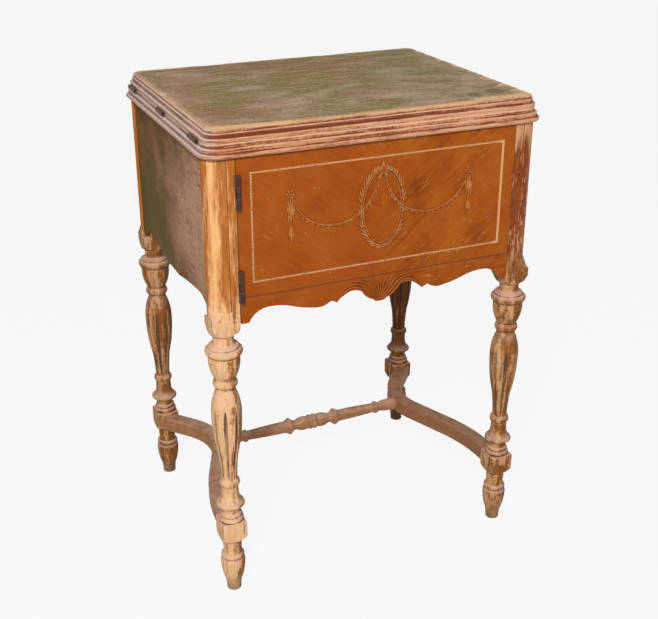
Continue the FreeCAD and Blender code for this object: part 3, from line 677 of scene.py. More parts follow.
@dataclass(frozen=True)
class WeatheredTop(Finish):
    """Walnut veneer of the lid, varnish gone, bleached grey and olive with rain stains and scratches."""

    gloss: float = 0.12
    olive: str = "#857640"
    brown: str = "#8C6A3E"
    pink: str = "#B68A74"
    grey: str = "#C6B198"
    deep: str = "#5E4C28"
    scratch: str = "#E2CFAE"
    margin: str = "#CFA888"
    grain_mm: float = 1.1
    half_x: float = 0.2596
    half_y: float = 0.2041
    scratches: tuple[Place, ...] = ((7.0, 560.0, 9.4), (-12.0, 420.0, 11.0), (-41.0, 380.0, 11.0))
    spots: tuple[Place, ...] = ((0.176, -0.170, 0.775), (0.216, -0.160, 0.775))

    def paint(self, add: Add, place: Socket) -> Coat:
        """Adds stains, grain, bleaching, scratches and the pale margin."""
        x, y, _ = add("SeparateXYZ", place).outputs
        fine = 1.0 / (self.grain_mm * MM)
        grain = streaked(add, place, (fine * 0.03, fine, fine), 3.0, 0.6)
        broad = streaked(add, place, (7.0, 11.0, 1.0), 6.0, 0.6)
        drift = add("Mapping", place, Location=(3.1, 1.7, 0.0), Scale=(9.0, 14.0, 1.0))
        cloud = add("TexNoise", drift, Scale=1.0, Detail=8.0, Roughness=0.68)
        mist = add("Mapping", place, Location=(7.7, 4.3, 0.0), Scale=(13.0, 22.0, 1.0))
        haze = add("TexNoise", mist, Scale=1.0, Detail=8.0, Roughness=0.62)
        pits = add("TexNoise", place, Scale=150.0, Detail=6.0, Roughness=0.75)
        rosy = add("ADD", cloud, add("MapRange", x, 0.0, -0.26, 0.0, 0.16))
        handled = add("ADD", add("MapRange", y, 0.10, -0.20, 0.0, 0.09), add("MapRange", x, 0.03, 0.24, 0.0, 0.11))
        pale = add("ADD", haze, add("MULTIPLY_ADD", pits, 0.35, handled))
        marks = []
        for turn, long, thin in self.scratches:
            way = add("Mapping", place, Rotation=(0.0, 0.0, math.radians(turn)),
                      Scale=(1.0 / (long * MM), 1.0 / (thin * MM), 1.0))
            cell = add("TexVoronoi", way, Scale=1.0, voronoi_dimensions="2D")
            marks.append(add("MapRange", cell, 0.075, 0.04, 0.0, 0.7))
        dots = add("TexVoronoi", place, Scale=55.0, voronoi_dimensions="2D")
        marks.append(add("MapRange", dots, 0.075, 0.045, 0.0, 0.7))
        ring = add("MULTIPLY_ADD", haze, 0.05, nearest(add, place, self.spots))
        ends, sides = (add("SUBTRACT", half, add("ABSOLUTE", axis)) for half, axis in (
            (self.half_x, x), (self.half_y, y)))
        ragged = add("MULTIPLY_ADD", cloud, -0.020, add("MINIMUM", ends, sides))
        whole = layered(add, self.olive, (add("MapRange", broad, 0.42, 0.60), self.brown),
                        (add("MapRange", rosy, 0.54, 0.74, 0.0, 0.75), self.pink),
                        (add("MapRange", grain, 0.52, 0.32, 0.0, 0.38), self.deep),
                        (add("MapRange", pits, 0.50, 0.36, 0.0, 0.4), self.deep),
                        (add("MapRange", pale, 0.70, 0.96, 0.0, 0.7), self.grey),
                        (reduce(partial(add, "MAXIMUM"), marks), self.scratch),
                        (add("MapRange", ring, 0.040, 0.033, 0.0, 0.65), self.deep),
                        (add("MapRange", ragged, 0.001, -0.008, 0.0, 0.75), self.margin))
        bump = add("Bump", Height=grain, Strength=0.3, Distance=0.3 * MM)
        return Coat(whole, add("MapRange", haze, 0.0, 1.0, 0.5, 0.75), bump)


@dataclass(frozen=True)
class RubbedMoulding(Finish):
    """Reeded gumwood edge of the top: red-brown stain in the grooves, bare pink wood on the reeds.

    The flat on top of the board is bare core wood where the veneer has gone, or clean stain under the lid.
    """

    gloss: float = 0.06
    bare: str = "#D8A07A"
    stain: Shades = ("#5A2420", "#94452A")
    amber: str = "#B06A36"
    arris: str = "#EFD0B0"
    mauve: Shades = ("#684640", "#BC9688")
    chalk: str = "#E2CCC0"
    flat: Shades = ("#DCAE7A", "#F0CC9C")
    flat_pink: str = "#DDB8A2"
    covered: Shades = ("#5E3417", "#8A5528")

    def paint(self, add: Add, place: Socket) -> Coat:
        """Adds stained grooves, rubbed reeds with painted highlight, and the flat top."""
        x, y, z = add("SeparateXYZ", place).outputs
        up = add("SeparateXYZ", add("NewGeometry").outputs["Normal"]).outputs["Z"]
        streak = streaked(add, place, (22.0, 22.0, 420.0), 7.0, 0.68)
        grain = streaked(add, place, (18.0, 420.0, 420.0), 4.0, 0.6)
        flake = add("TexNoise", place, Scale=240.0, Detail=5.0, Roughness=0.7)
        reach = add("TexNoise", place, Scale=8.0, Detail=3.0)
        deep, proud = relief(add, 7.0, 3.2)
        front = add("MapRange", y, -0.19, -0.21)
        west = add("MapRange", x, -0.245, -0.268)
        # Stain left in the grooves
        groove = add("COMPARE", z, 0.7652, 0.0026)
        middle = add("MapRange", x, 0.20, -0.05, 0.0, 0.18)
        left = summed(add, 0.10, (add("MULTIPLY", groove, front), middle), (streak, 0.80), (flake, 0.55),
                      (reach, 0.40), (deep, -0.36))
        stained = add("MapRange", left, 0.65, 0.79, 0.0, 0.92)
        shade = add("MixRGB", west, add("MixRGB", flake, *self.stain), self.mauve[0])
        # Bare and rubbed reeds, their pale arrises partly worn and partly painted highlight
        faced = add("MULTIPLY", front, add("MapRange", x, 0.12, -0.22, 0.3, 1.1))
        tanned = add("MULTIPLY", faced, add("MapRange", streak, 0.40, 0.56, 0.0, 0.75), use_clamp=True)
        # Pale bloom and painted highlight on the faces that turn up, on the left
        bloom_and_top_highlight = add("MULTIPLY", add("MapRange", up, 0.25, 0.7, 0.0, 0.75), west)
        # Pale arrises: wear, and painted highlight on the reeds' top edges
        rubbed = add("MapRange", proud, 0.80, 0.50, 0.0, 0.9)
        reeds = layered(add, self.bare, (west, self.mauve[1]), (tanned, self.amber), (stained, shade),
                        (bloom_and_top_highlight, self.chalk), (rubbed, self.arris))
        # Flat on top, and the faces that the closed lid covers
        core = add("MixRGB", add("MapRange", y, -0.188, -0.165, 0.0, 0.8), add("MixRGB", grain, *self.flat),
                   self.flat_pink)
        flat = add("MULTIPLY", add("MapRange", z, 0.7725, 0.7735), add("MapRange", up, 0.85, 0.95))
        covered = add("MULTIPLY", add("COMPARE", z, 0.755, 0.0008), add("GREATER_THAN", add("ABSOLUTE", up), 0.9))
        whole = layered(add, reeds, (flat, core), (covered, add("MixRGB", grain, *self.covered)))
        return Coat(whole, 0.55, add("Bump", Height=streak, Strength=0.3, Distance=0.4 * MM))


@dataclass(frozen=True)
class CrazedPanel(Finish):
    """Walnut veneer of the case sides: dark old varnish at the back, bleached and checked towards the front.

    The inner face is plain wood.
    """

    gloss: float = 0.01
    dark: Shades = ("#543A1A", "#8A6434")
    olive: str = "#625820"
    bleached: Shades = ("#B48464", "#D6AC92")
    crack: str = "#543420"
    inner: Shades = ("#7E5830", "#A67B4B")

    def paint(self, add: Add, place: Socket) -> Coat:
        """Adds varnish, bleaching, painted olive shade, checks and the inner face."""
        _, y, z = add("SeparateXYZ", place).outputs
        outward = facing(add, add("NewGeometry").outputs["Normal"], place)
        grain = streaked(add, place, (12.0, 12.0, 460.0), 4.0, 0.62)
        check = streaked(add, place, (15.0, 15.0, 720.0), 2.0, 0.5)
        cloud = add("TexNoise", place, Scale=11.0, Detail=7.0, Roughness=0.66)
        where = add("TexNoise", place, Scale=14.0, Detail=5.0, Roughness=0.65)
        pits = add("TexNoise", place, Scale=240.0, Detail=6.0, Roughness=0.75)
        fore = add("MapRange", y, 0.10, -0.14)
        span = add("ABSOLUTE", add("SUBTRACT", z, 0.615))
        # Old varnish, what the sun has bleached, and painted olive shade low at the back
        spread = add("MULTIPLY_ADD", cloud, 1.1, fore)
        faded = add("MapRange", add("ADD", spread, add("MapRange", span, 0.04, 0.13, 0.0, -0.42)), 0.64, 1.40)
        shade = add("ADD", grain, add("MapRange", cloud, 0.35, 0.65, -0.35, 0.35), use_clamp=True)
        # Painted shade, tinted olive, low on the rear half of the panel
        painted_olive_shade = add("MULTIPLY", add("MapRange", y, -0.03, 0.05, 0.0, 0.6), add("MapRange", z, 0.655, 0.60))
        # Checks and pits
        often = add("ADD", where, add("MapRange", span, 0.03, 0.11, -0.10, 0.10))
        split = add("MapRange", check, 0.47, 0.39, 0.0, 0.85)
        seen = add("MULTIPLY", split, add("MapRange", often, 0.42, 0.56))
        cracked = add("MULTIPLY", seen, add("MapRange", fore, 0.35, 0.75))
        pitted = add("MapRange", pits, 0.50, 0.36, 0.0, 0.55)
        outer = layered(add, add("MixRGB", shade, *self.dark), (painted_olive_shade, self.olive),
                        (faded, add("MixRGB", grain, *self.bleached)), (pitted, self.crack), (cracked, self.crack))
        whole = add("MixRGB", add("MapRange", outward, -0.02, 0.02), add("MixRGB", grain, *self.inner), outer)
        bump = add("Bump", Height=cracked, Strength=0.35, Distance=-0.2 * MM)
        return Coat(whole, add("MapRange", faded, 0.0, 1.0, 0.45, 0.7), bump)


@dataclass(frozen=True)
class StainedWood(Finish):
    """Stained hardwood with a worn finish: fibre along one axis, dust on top, bare wood on the arrises."""

    run: Run = Run.ALONG_X
    light: str = "#BA845C"
    dark: str = "#805232"
    dust: str = "#C29C88"
    bare: str = "#CFA27C"
    dust_share: float = 0.7
    wear_share: float = 0.7
    right_shade_share: float = 0.0
    fibre_mm: float = 2.4
    rough: float = 0.55

    def paint(self, add: Add, place: Socket) -> Coat:
        """Adds fibre, blotches, dust, rubbed arrises, painted shade in hollows and painted shade on the right."""
        x = add("SeparateXYZ", place).outputs["X"]
        up = add("SeparateXYZ", add("NewGeometry").outputs["Normal"]).outputs["Z"]
        fine = 1.0 / (self.fibre_mm * MM)
        grain = streaked(add, place, tuple(fine * share for share in self.run.value), 5.0, 0.65)
        blot = add("TexNoise", place, Scale=60.0, Detail=5.0, Roughness=0.65)
        deep, proud = relief(add, 5.0, 2.2)
        tone = add("MapRange", add("MULTIPLY_ADD", blot, 0.5, grain), 0.5, 1.0)
        some = add("MapRange", blot, 0.3, 0.6)
        settled = add("MULTIPLY", add("MapRange", up, 0.3, 0.9, 0.0, self.dust_share), some)
        rubbed = add("MULTIPLY", add("MapRange", proud, 0.85, 0.5, 0.0, self.wear_share), some)
        # Painted shade, with some dirt, darkens the hollows, found by ambient occlusion
        sunk = add("MapRange", deep, 0.78, 0.42, 0.0, 0.75)
        # Painted shade: darker towards the right
        east = add("MapRange", x, -0.05, 0.2, 0.0, self.right_shade_share)
        whole = layered(add, self.dark, (tone, self.light), (settled, self.dust), (rubbed, self.bare),
                        (sunk, self.dark), (east, self.dark))
        return Coat(whole, self.rough, add("Bump", Height=grain, Strength=0.3, Distance=0.3 * MM))


@dataclass(frozen=True)
class PressedCarving(Finish):
    """Pressed and carved wood under the door's varnish, rubbed pale on the crests, with painted shade in the cuts."""

    gloss: float = 0.1
    face: str = "#9A5019"
    crest: str = "#CC8E58"
    cut: str = "#5A2C0C"

    def paint(self, add: Add, place: Socket) -> Coat:
        """Adds crests and painted shade in the cuts."""
        out = add("SeparateXYZ", add("NewGeometry").outputs["Normal"]).outputs["Y"]
        blot = add("TexNoise", place, Scale=160.0, Detail=4.0, Roughness=0.65)
        # Painted shade in the cuts and where the carving meets the door, found by ambient occlusion
        deep = add("AmbientOcclusion", Distance=4 * MM, samples=SHADE_SAMPLES)
        rub = add("MULTIPLY", add("MapRange", out, -0.78, -1.0), blot)
        whole = layered(add, self.face, (add("MapRange", rub, 0.34, 0.60, 0.0, 0.75), self.crest),
                        (add("MapRange", deep, 0.74, 0.34, 0.0, 0.9), self.cut))
        return Coat(whole, 0.46, add("Bump", Height=blot, Strength=0.3, Distance=0.3 * MM))


@dataclass(frozen=True)
class AgedMetal(Finish):
    """Old iron or steel: dark skin with rust blotches, bright where it is rubbed."""

    skin: str = "#46342E"
    rust: str = "#6B4126"
    bright: str = "#9C9082"
    metallic: float = 0.5
    rough: float = 0.5

    def paint(self, add: Add, place: Socket) -> Coat:
        """Adds skin, rust and rubbed edges."""
        blot = add("TexNoise", place, Scale=180.0, Detail=6.0, Roughness=0.7)
        proud = add("AmbientOcclusion", Distance=1.0 * MM, samples=SHADE_SAMPLES, only_local=True, inside=True)
        whole = layered(add, self.skin, (add("MapRange", blot, 0.5, 0.66, 0.0, 0.8), self.rust),
                        (add("MapRange", proud, 0.8, 0.5, 0.0, 0.5), self.bright))
        bump = add("Bump", Height=blot, Strength=0.3, Distance=0.15 * MM)
        return Coat(whole, self.rough, bump, self.metallic)


# Sub-assemblies

@dataclass
class Legs:
    """Four legs: turned and fluted below, with a stretcher block and a square stile."""

    span_x: float = 248.0
    span_y: float = 192.5
    stile_z: float = 462.0
    block_low: float = 100.0
    block_high: float = 136.0
    block_half: float = 20.0
    vase_low: float = 215.0
    vase_height: float = 160.0
    flute_half: float = 3.3
    flute_depth: float = 2.3
    flute_count: int = 8
    flute_stops: tuple[Point, ...] = ((-0.02, 0.0), (0.03, 0.5), (0.26, 0.8), (0.58, 1.0), (0.74, 0.8), (0.84, 0.0))
    steps: int = 128
    block_steps: int = 96

    def profile(self) -> list[Point]:
        """Draws the turning from the foot to inside the stile.

        Returns:
            Radius and height of each point.
        """
        return drawn((0.0, 0.0), [
            (10.4, 0.0, 0.0), (11.6, 1.4, 0.3), (12.9, 18.0, -0.3), (19.6, 53.0, 1.6), (18.4, 61.5, 0.9),
            (16.6, 63.0, 0.0), (17.0, 64.2, 0.0), (16.6, 71.5, 2.0), (15.4, 72.6, 0.0), (15.2, 86.0, -0.6),
            (15.2, 118.0, 0.0), (18.4, 118.0, 0.0), (18.6, 136.0, 0.0), (17.6, 143.4, 1.9), (16.4, 144.2, 0.0),
            (15.6, 150.2, 1.5), (14.5, 151.2, 0.0), (14.4, 153.4, 0.0), (20.8, 163.8, -1.8), (21.6, 169.4, 1.6),
            (19.2, 171.2, 0.4), (13.8, 187.0, -1.5), (13.6, 198.4, -0.2), (12.8, 199.4, 0.0), (12.8, 212.6, 3.6),
            (12.2, 214.0, 0.0), (12.6, 217.0, 0.0), (15.7, 257.0, -0.5), (23.7, 327.0, 2.0), (14.6, 374.0, 2.9),
            (14.0, 376.0, 0.0), (15.8, 389.8, 4.4), (15.6, 391.2, 0.0), (16.6, 392.4, 0.0), (24.4, 427.6, 2.4),
            (23.6, 430.4, 0.6), (24.4, 431.2, 0.0), (25.4, 443.0, 4.0), (23.6, 443.8, 0.0), (21.8, 447.4, 1.0),
            (20.0, 448.0, 0.0), (15.9, 454.2, -1.3), (15.8, 474.0, 0.0), (0.0, 474.0, 0.0),
        ])

    def spindle(self) -> Object:
        """Turns one leg and sinks its flutes.

        Returns:
            The turning about the Z axis.
        """
        obj, stops = turned(self.profile(), self.steps), self.flute_stops
        cuts = obj.data.attributes.new("flute", "FLOAT", "POINT").data
        for vertex in obj.data.vertices:
            rise = (vertex.co.z / MM - self.vase_low) / self.vase_height
            if not stops[0][0] < rise < stops[-1][0]:
                continue
            share = next(a[1] + (b[1] - a[1]) * (rise - a[0]) / (b[0] - a[0])
                         for a, b in zip(stops, stops[1:]) if rise <= b[0])
            radius, pitch = math.hypot(vertex.co.x, vertex.co.y), math.tau / self.flute_count
            turn = math.atan2(vertex.co.y, vertex.co.x) % pitch - pitch / 2
            away = abs(turn) * radius / MM / (self.flute_half * max(share, 0.05))
            if away < 1.0:
                sunk = 1.0 - self.flute_depth * share * MM * (1.0 - away * away) / radius
                vertex.co.x *= sunk
                vertex.co.y *= sunk
                cuts[vertex.index].value = min(1.0, 1.5 * (1.0 - away * away)) * min(1.0, 2.0 * share)
        return obj

    def block(self) -> Object:
        """Cuts the square block for the stretcher, its lower corners turned away.

        Returns:
            The block about the Z axis.
        """
        tall = self.block_high - self.block_low
        obj = made(bpy.ops.mesh.primitive_cube_add, size=2 * self.block_half * MM)
        edit(obj)
        bpy.ops.transform.resize(value=(1.0, 1.0, tall / (2 * self.block_half)))
        bpy.ops.transform.translate(value=(0, 0, (self.block_low + tall / 2) * MM))
        bpy.ops.mesh.bevel(offset=1.3 * MM, segments=3, affect="EDGES")
        close()
        reach, low, high = self.block_half * math.sqrt(2), self.block_low, self.block_high
        shoulder = turned(drawn((0.0, low - 1.0), [
            (15.0, low - 1.0, 0.0), (15.4, low, 0.0), (reach, low + 9.0, 1.8), (reach, high - 1.5, 0.0),
            (reach - 2.0, high + 0.5, 0.4), (0.0, high + 0.5, 0.0)]), self.block_steps)
        return cut_with(obj, shoulder, "INTERSECT")

    def stile(self, node: str) -> Object:
        """Takes the stile from its solid, with its seats, and rounds its arrises.

        Args:
            node: CAD leg.

        Returns:
            The stile in its place.
        """
        return rounded(halved(from_solid(node, "stile"), (0, 0, self.stile_z + 0.2), (0, 0, 1)), 0.7, 40.0)

    def build(self, material: Material) -> None:
        """Makes and dresses the four legs.

        Args:
            material: finish of the legs.
        """
        spindle, block = self.spindle(), self.block()
        for front, sign_y in (("front", -1.0), ("back", 1.0)):
            for side in Side:
                node = f"leg_{front}_{side.name.lower()}"
                move = Matrix.Translation((side.value * self.span_x * MM, sign_y * self.span_y * MM, 0.0))
                parts = [self.stile(node), copied(spindle, "spindle", move), copied(block, "block", move)]
                ride(smooth(joined(parts, f"turned_{node}")), "cabinet", material, "leg_wood", node)
        bpy.data.objects.remove(spindle)
        bpy.data.objects.remove(block)


@dataclass
class Stretchers:
    """Two serpentine side stretchers and the turned one across."""

    half: float = 174.97
    depth: float = 64.86
    height: float = 118.0
    steps: int = 72

    def build(self, wood: Material, turned_wood: Material) -> None:
        """Makes the turned stretcher and dresses the side ones.

        Args:
            wood: finish of the side stretchers.
            turned_wood: finish of the turned one.
        """
        half = self.half
        right = turned(drawn((0.0, -0.6), [
            (12.4, -0.6, 0.0), (13.2, 2.0, 0.0), (12.0, 7.4, 1.4), (11.0, 8.2, 0.0), (11.6, 9.2, 0.0),
            (9.0, 32.0, 2.6), (9.2, 34.6, 0.0), (14.6, 43.6, -1.2), (14.6, 48.6, 0.9), (11.0, 56.4, -0.6),
            (10.8, 58.0, 0.0), (8.7, half - 48.0, 0.6), (8.6, half - 46.6, 0.0), (8.6, half - 36.4, 3.2),
            (8.4, half - 35.0, 0.0), (11.8, half - 6.0, 0.8), (12.2, half, 0.2), (12.2, half + 3.0, 0.0),
            (0.0, half + 3.0, 0.0)]), self.steps)
        left = copied(right, "left", Matrix.Rotation(math.pi, 4, "X"))
        obj = joined([right, left], "turned_stretcher_cross")
        obj.data.transform(Matrix.Translation((0.0, self.depth * MM, self.height * MM))
                           @ Matrix.Rotation(math.radians(90.0), 4, "Y"))
        ride(smooth(obj), "cabinet", turned_wood, "stretcher_wood", "stretcher_cross")
        dress(wood, "stretcher_left", "stretcher_right")


@dataclass
class Top:
    """Lid with its broken veneer, and the fixed leaf under it."""

    half_x: float = 259.6
    half_y: float = 204.1
    corner: float = 13.6
    top: float = 775.0
    thick: float = 0.85
    step: float = 1.5

    def edge(self) -> list[tuple[float, float, bool]]:
        """Walks round the whole sheet's rounded edge.

        Returns:
            X and Y of each point, and whether it faces front or back.
        """
        points = []
        inner_x, inner_y, r = self.half_x - self.corner, self.half_y - self.corner, self.corner
        corners = [(inner_x, inner_y, 0), (-inner_x, inner_y, 90), (-inner_x, -inner_y, 180), (inner_x, -inner_y, 270)]
        for index, (cx, cy, start) in enumerate(corners):
            for turn in range(0, 91, 9):
                angle = math.radians(start + turn)
                points.append((cx + r * math.cos(angle), cy + r * math.sin(angle),
                               abs(math.sin(angle)) > abs(math.cos(angle))))
            x0, y0, _ = points[-1]
            nx, ny, begin_turn = corners[(index + 1) % 4]
            x1 = nx + r * math.cos(math.radians(begin_turn))
            y1 = ny + r * math.sin(math.radians(begin_turn))
            count = int(math.hypot(x1 - x0, y1 - y0) / self.step)
            points += [(x0 + (x1 - x0) * i / count, y0 + (y1 - y0) * i / count, y0 == y1 or abs(x1 - x0) > 1.0)
                       for i in range(1, count)]
        return points

    def outline(self) -> list[Point]:
        """Bites the broken places out of the sheet's edge.

        Returns:
            The ragged outline that is left.
        """
        front = ((-264, -134, 17.5, 8.5), (-96, -62, 1.0, 2.5), (-30, 8, 1.5, 3.0), (60, 112, 3.0, 5.5),
                 (112, 158, 8.5, 6.0), (158, 206, 10.0, 17.0), (206, 264, 17.0, 21.0))
        back = ((-150, -100, 3.0, 4.0), (70, 110, 3.0, 4.5))
        right = ((-196, -172, 32.0, 20.0), (-172, -156, 26.0, 12.0), (-150, -138, 7.0, 5.0), (-135, -112, 24.0, 9.0),
                 (-104, -96, 6.0, 9.0), (-90, -76, 8.0, 24.0), (-76, -58, 20.0, 7.0), (-46, -38, 7.0, 5.0),
                 (-28, -10, 12.0, 5.0), (4, 12, 5.0, 8.0), (16, 30, 9.0, 22.0), (30, 44, 18.0, 6.0),
                 (58, 64, 6.0, 5.0), (72, 86, 14.0, 20.0), (86, 102, 9.0, 4.0), (126, 142, 10.0, 5.0),
                 (160, 178, 11.0, 6.0))
        left = ((9, 38, 4.0, 9.0), (-38, -29, 8.0, 5.0), (100, 118, 3.0, 5.0), (-130, -100, 2.0, 3.0))
        left_over = []
        for x, y, lengthwise in self.edge():
            bites = (back if y > 0 else front) if lengthwise else (right if x > 0 else left)
            along = x if lengthwise else y
            fray = noise.fractal(Vector((along / (26.0 if lengthwise else 5.0), x * y / 9000.0, 0.5)), 1.0, 2.0, 5)
            depth = max(0.5 + 0.8 * fray, 0.0)
            for start, end, first, last in bites:
                if start < along < end:
                    share = (along - start) / (end - start)
                    ramp = min(1.0, (along - start) / 2.5, (end - along) / 2.5)
                    rag = 0.06 if end - start > 100 else 0.4
                    depth = max(depth, ramp * (first + (last - first) * share) * (1.0 + rag * fray))
            if lengthwise:
                left_over.append((x, y - math.copysign(depth, y)))
            elif y > -self.half_y + (22.0 if x > 0 else 18.0):
                left_over.append((x - math.copysign(depth, x), y))
        return left_over

    def veneer(self) -> Object:
        """Breaks a sheet of veneer along its edges.

        Returns:
            The sheet with its thickness.
        """
        outline = self.outline()
        obj = made(bpy.ops.mesh.primitive_circle_add, vertices=len(outline), radius=MM, fill_type="NGON")
        obj.name = "broken_lid_veneer"
        for vertex, (x, y) in zip(obj.data.vertices, outline):
            vertex.co = (x * MM, y * MM, (self.top - self.thick) * MM)
        edit(obj)
        bpy.ops.mesh.normals_make_consistent(inside=False)
        bpy.ops.mesh.extrude_region_move(TRANSFORM_OT_translate={"value": (0, 0, self.thick * MM)})
        bpy.ops.mesh.select_all(action="SELECT")
        bpy.ops.mesh.normals_make_consistent(inside=False)
        close()
        return obj

    def build(self, face: Material, edge: Material, inner: Material) -> None:
        """Makes the veneer and dresses the boards.

        Args:
            face: finish of the veneer.
            edge: finish of the moulded boards.
            inner: finish of the flap under the lid.
        """
        ride(smooth(self.veneer()), "lid", face, "top_veneer", "lid_veneer")
        dress(edge, "lid_board", "fixed_leaf")
        dress(inner, "machine_flap")


@dataclass
class Carver:
    """Puts carved ornament together from leaves and ridges on the front face."""

    face_y: float

    def __post_init__(self) -> None:
        """Shapes the one pointed leaf that all others are copies of."""
        self.parts: list[Object] = []
        self.blank = made(bpy.ops.mesh.primitive_uv_sphere_add, segments=10, ring_count=7, radius=0.5)
        for vertex in self.blank.data.vertices:
            point = math.sqrt(max(0.0, 1.0 - 4.0 * vertex.co.z ** 2))
            crease = 1.0 - 0.25 * (1.0 - min(1.0, abs(vertex.co.x) / 0.2))
            vertex.co.x *= point
            vertex.co.y *= point * crease

    def leaf(self, x: float, z: float, lean: float, length: float, width: float, height: float) -> None:
        """Lays one leaf on the face.

        Args:
            x: middle of the leaf across.
            z: middle of the leaf up.
            lean: degrees from upright towards the right.
            length: length of the leaf.
            width: its width.
            height: how far it stands out of the face, twice over.
        """
        self.parts.append(copied(self.blank, "leaf", Matrix.Translation((x * MM, self.face_y * MM, z * MM))
                                 @ Matrix.Rotation(math.radians(lean), 4, "Y")
                                 @ Matrix.Diagonal((width * MM, height * MM, length * MM, 1.0))))

    def rosette(self, x: float, z: float, radius: float, petals: int) -> None:
        """Lays a small flower with a round heart.

        Args:
            x: middle across.
            z: middle up.
            radius: reach of the petals.
            petals: number of petals.
        """
        self.leaf(x, z, 0.0, radius * 0.8, radius * 0.8, 8.4)
        for index in range(petals):
            angle = math.tau * (index + 0.5) / petals
            self.leaf(x + 0.58 * radius * math.sin(angle), z + 0.58 * radius * math.cos(angle), math.degrees(angle),
                      radius * 0.95, radius * 0.75, 6.0)

    def ridge(self, way: list[Point], radii: list[float], crush: float) -> None:
        """Raises a half-round ridge along a way.

        Args:
            way: X and Z in millimetres of its control points.
            radii: half width at each point.
            crush: height of the ridge as a share of its half width.
        """
        curve = made(bpy.ops.curve.primitive_nurbs_path_add).data
        curve.splines.clear()
        spline = curve.splines.new("NURBS")
        spline.points.add(len(way) - 1)
        for point, (x, z), radius in zip(spline.points, way, radii):
            point.co = (x * MM, 0.0, z * MM, 1.0)
            point.radius = radius
        spline.order_u = 3
        spline.use_endpoint_u = True
        curve.bevel_depth = MM
        curve.bevel_resolution = 2
        curve.resolution_u = 6
        curve.use_fill_caps = True
        bpy.ops.object.convert(target="MESH")
        obj = bpy.context.object
        obj.data.transform(Matrix.Translation((0, self.face_y * MM, 0)) @ Matrix.Diagonal((1, crush, 1, 1)))
        self.parts.append(obj)

    def piece(self, name: str) -> Object:
        """Joins what has been carved, and puts the blank leaf away."""
        bpy.data.objects.remove(self.blank)
        return smooth(joined(self.parts, name), 50.0)


